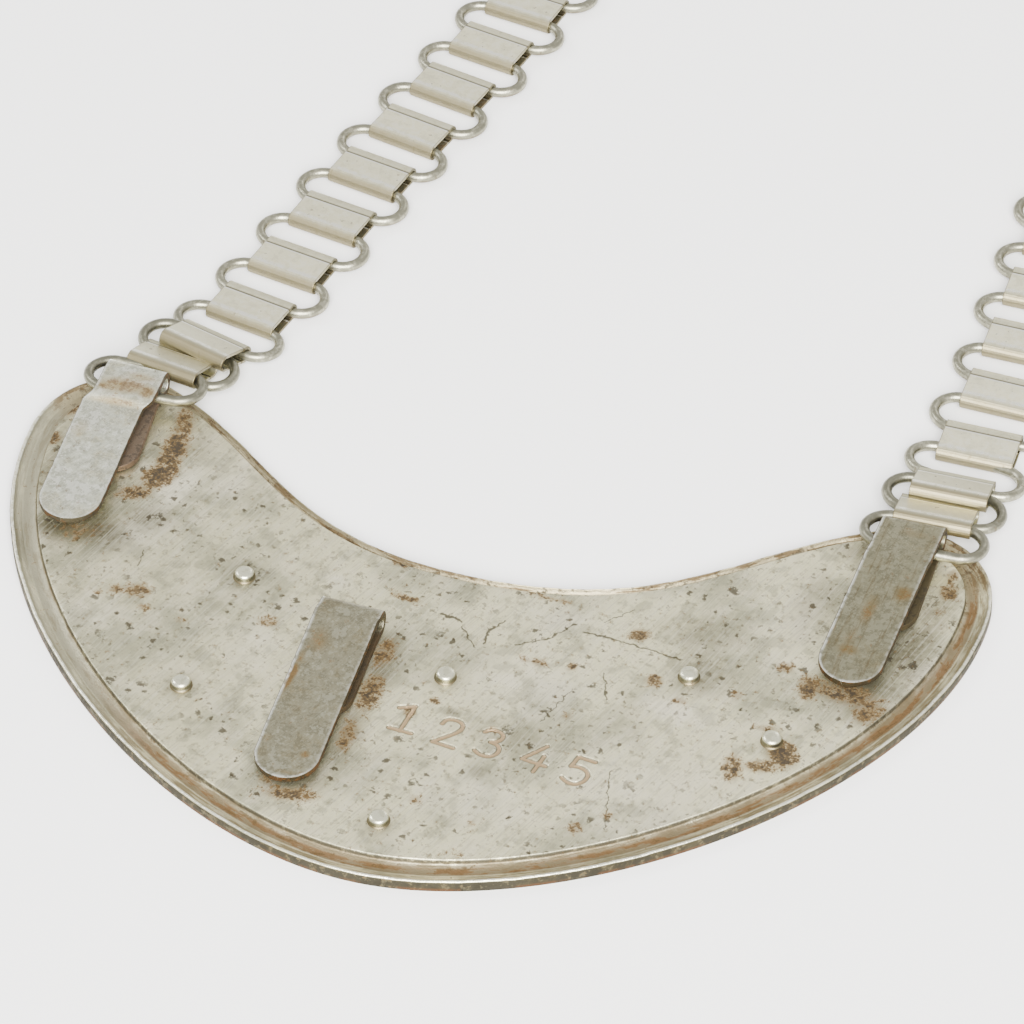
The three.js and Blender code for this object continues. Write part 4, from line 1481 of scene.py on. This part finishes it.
def link_sheet_steel():
    """Sheet with a dark line of painted shade at the seam and a painted lit edge beside it, a painted gleam
    where the near fold starts, and painted shade on the fold itself and along the cut ends."""
    steel = chain_steel("link_sheet_steel", (0.95, 0.91, 0.66), (0.98, 0.96, 0.8))
    local = steel.node("ShaderNodeAttribute", {"attribute_name": "local"}, out="Vector")
    along = steel.node("ShaderNodeSeparateXYZ", {}, local, out="Y") * 1000.0
    across = steel.node("ShaderNodeSeparateXYZ", {}, local, out="X") * 1000.0
    seam = SEAM_SHARE * LINK_LENGTH
    fold = LINK_SHEET + WIRE_RADIUS - LINK_LENGTH / 2
    # Painted shade on the near fold
    steel.layer(along.between(fold + 0.1, fold - 0.9) * 0.85, (0.2, 0.165, 0.085), 0.46)
    gleam = along.between(fold - 0.3, fold + 0.1) * along.between(fold + 0.9, fold + 0.4)
    steel.layer(gleam * steel.small.between(0.4, 0.52, 0.3, 0.9), (0.98, 0.97, 0.86), 0.26)
    steel.layer(along.between(seam, seam + 0.2) * 0.4, (0.42, 0.4, 0.27))
    lit = along.between(seam - 0.5, seam - 0.25) * along.between(seam, seam - 0.1)
    steel.layer(lit * 0.8, (0.98, 0.97, 0.88), 0.26)
    shade = along.between(seam - 0.12, seam - 0.02) * along.between(seam + 0.6, seam + 0.25)
    steel.layer(shade * 0.92, (0.05, 0.04, 0.02), 0.55)
    # Painted shade along the cut ends
    reach = LINK_WIDTH / 2
    ends = (across * across).between((reach - 0.22) ** 2, (reach - 0.04) ** 2)
    steel.layer(ends * 0.75, (0.16, 0.135, 0.075), 0.5)
    return steel.finish(0.06)


def ring_wire_steel():
    return chain_steel("ring_wire_steel", (0.3, 0.29, 0.215), (0.55, 0.53, 0.41)).finish(0.06)


# Making the pieces


def make_studs(material):
    profile = (
        (0.0, STUD_HEIGHT),
        (0.6, STUD_HEIGHT - 0.01),
        (1.0, STUD_HEIGHT - 0.05),
        (1.22, STUD_HEIGHT - 0.13),
        (1.38, STUD_HEIGHT - 0.27),
        (STUD_RADIUS - 0.02, STUD_HEIGHT - 0.45),
        (STUD_RADIUS, STUD_HEIGHT - 0.6),
        (STUD_RADIUS, 0.3),
        (STUD_RADIUS + 0.03, 0.16),
        (STUD_FOOT_RADIUS, 0.1),
        (STUD_FOOT_RADIUS + 0.03, -0.2),
        (0.95, -0.25),
        (0.95, -(SHEET_THICKNESS + 0.1)),
        (FRONT_HEAD_RADIUS, -(SHEET_THICKNESS + 0.1)),
        (FRONT_HEAD_RADIUS, -(SHEET_THICKNESS + FRONT_HEAD_HEIGHT)),
        (FRONT_HEAD_RADIUS - 0.25, -(SHEET_THICKNESS + 0.2 + FRONT_HEAD_HEIGHT)),
        (0.0, -(SHEET_THICKNESS + 0.25 + FRONT_HEAD_HEIGHT)),
    )
    around = 36
    vertices, faces = [], []
    for radius, height in profile[1:-1]:
        for i in range(around):
            angle = 2 * math.pi * i / around
            vertices.append((radius * math.cos(angle) * MM, radius * math.sin(angle) * MM, height * MM))
    rows = len(profile) - 2
    for row in range(rows - 1):
        for i in range(around):
            j = (i + 1) % around
            low, high = row * around, (row + 1) * around
            faces.append((low + j, low + i, high + i, high + j))
    top, bottom = len(vertices), len(vertices) + 1
    vertices += [(0, 0, profile[0][1] * MM), (0, 0, profile[-1][1] * MM)]
    for i in range(around):
        j = (i + 1) % around
        faces.append((top, i, j))
        faces.append((bottom, (rows - 1) * around + j, (rows - 1) * around + i))
    mesh = bpy.data.meshes.new("stud_blank")
    mesh.from_pydata(vertices, [], faces)
    blank = bpy.data.objects.new("stud_blank", mesh)
    bpy.context.scene.collection.objects.link(blank)
    tree = Pattern("stud", {"Stud": "NodeSocketObject"})
    shape = tree.node("GeometryNodeObjectInfo", {}, tree.input("Stud"), out="Geometry")
    tree.end(shape, material)
    made = []
    rng = random.Random(3)
    for index, (x, y) in enumerate(STUDS):
        px, py = on_plate(x, y)
        place = Matrix.Translation((px, py, FIELD_HEIGHT))
        place = place @ Matrix.Rotation(rng.uniform(0, 6), 4, "Z")
        place = place @ Matrix.Rotation(rng.uniform(0, 0.06), 4, "X")
        stud = tree.run(f"stud_{index + 1}_rivet", [place], {"Stud": blank}, [rng.random()])
        stud.data.shade_smooth()
        made.append(stud)
    bpy.data.objects.remove(blank)
    return made


add_camera()
add_floor_and_light()

plate = make_plate(plate_steel())
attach(plate, "root")
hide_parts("plate")

# Each hook's tone, its tone where it is worn bright, the tone of its base leaf and the strength of its
# streaks
HOOK_TONES = {
    "hook_left": ((0.64, 0.65, 0.52), (0.95, 0.95, 0.85), (0.12, 0.08, 0.052), 0.1),
    "hook_centre": ((0.29, 0.27, 0.185), (0.46, 0.445, 0.33), (0.06, 0.04, 0.02), 0.12),
    "hook_right": ((0.26, 0.243, 0.16), (0.36, 0.345, 0.24), (0.06, 0.046, 0.022), 0.5),
}
for hook_name, tones in HOOK_TONES.items():
    hook = make_hook(hook_name, hook_steel(hook_name, *tones))
    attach(hook, "root")
    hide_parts(hook_name)

for index, stud in enumerate(make_studs(stud_steel())):
    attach(stud, "root")
    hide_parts(f"stud_{index + 1}")

for side, sheets, wires in make_chain(link_sheet_steel(), ring_wire_steel()):
    for piece in (sheets, wires):
        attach(piece, "root")
        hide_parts("chain_" + side)

bpy.context.view_layer.update()
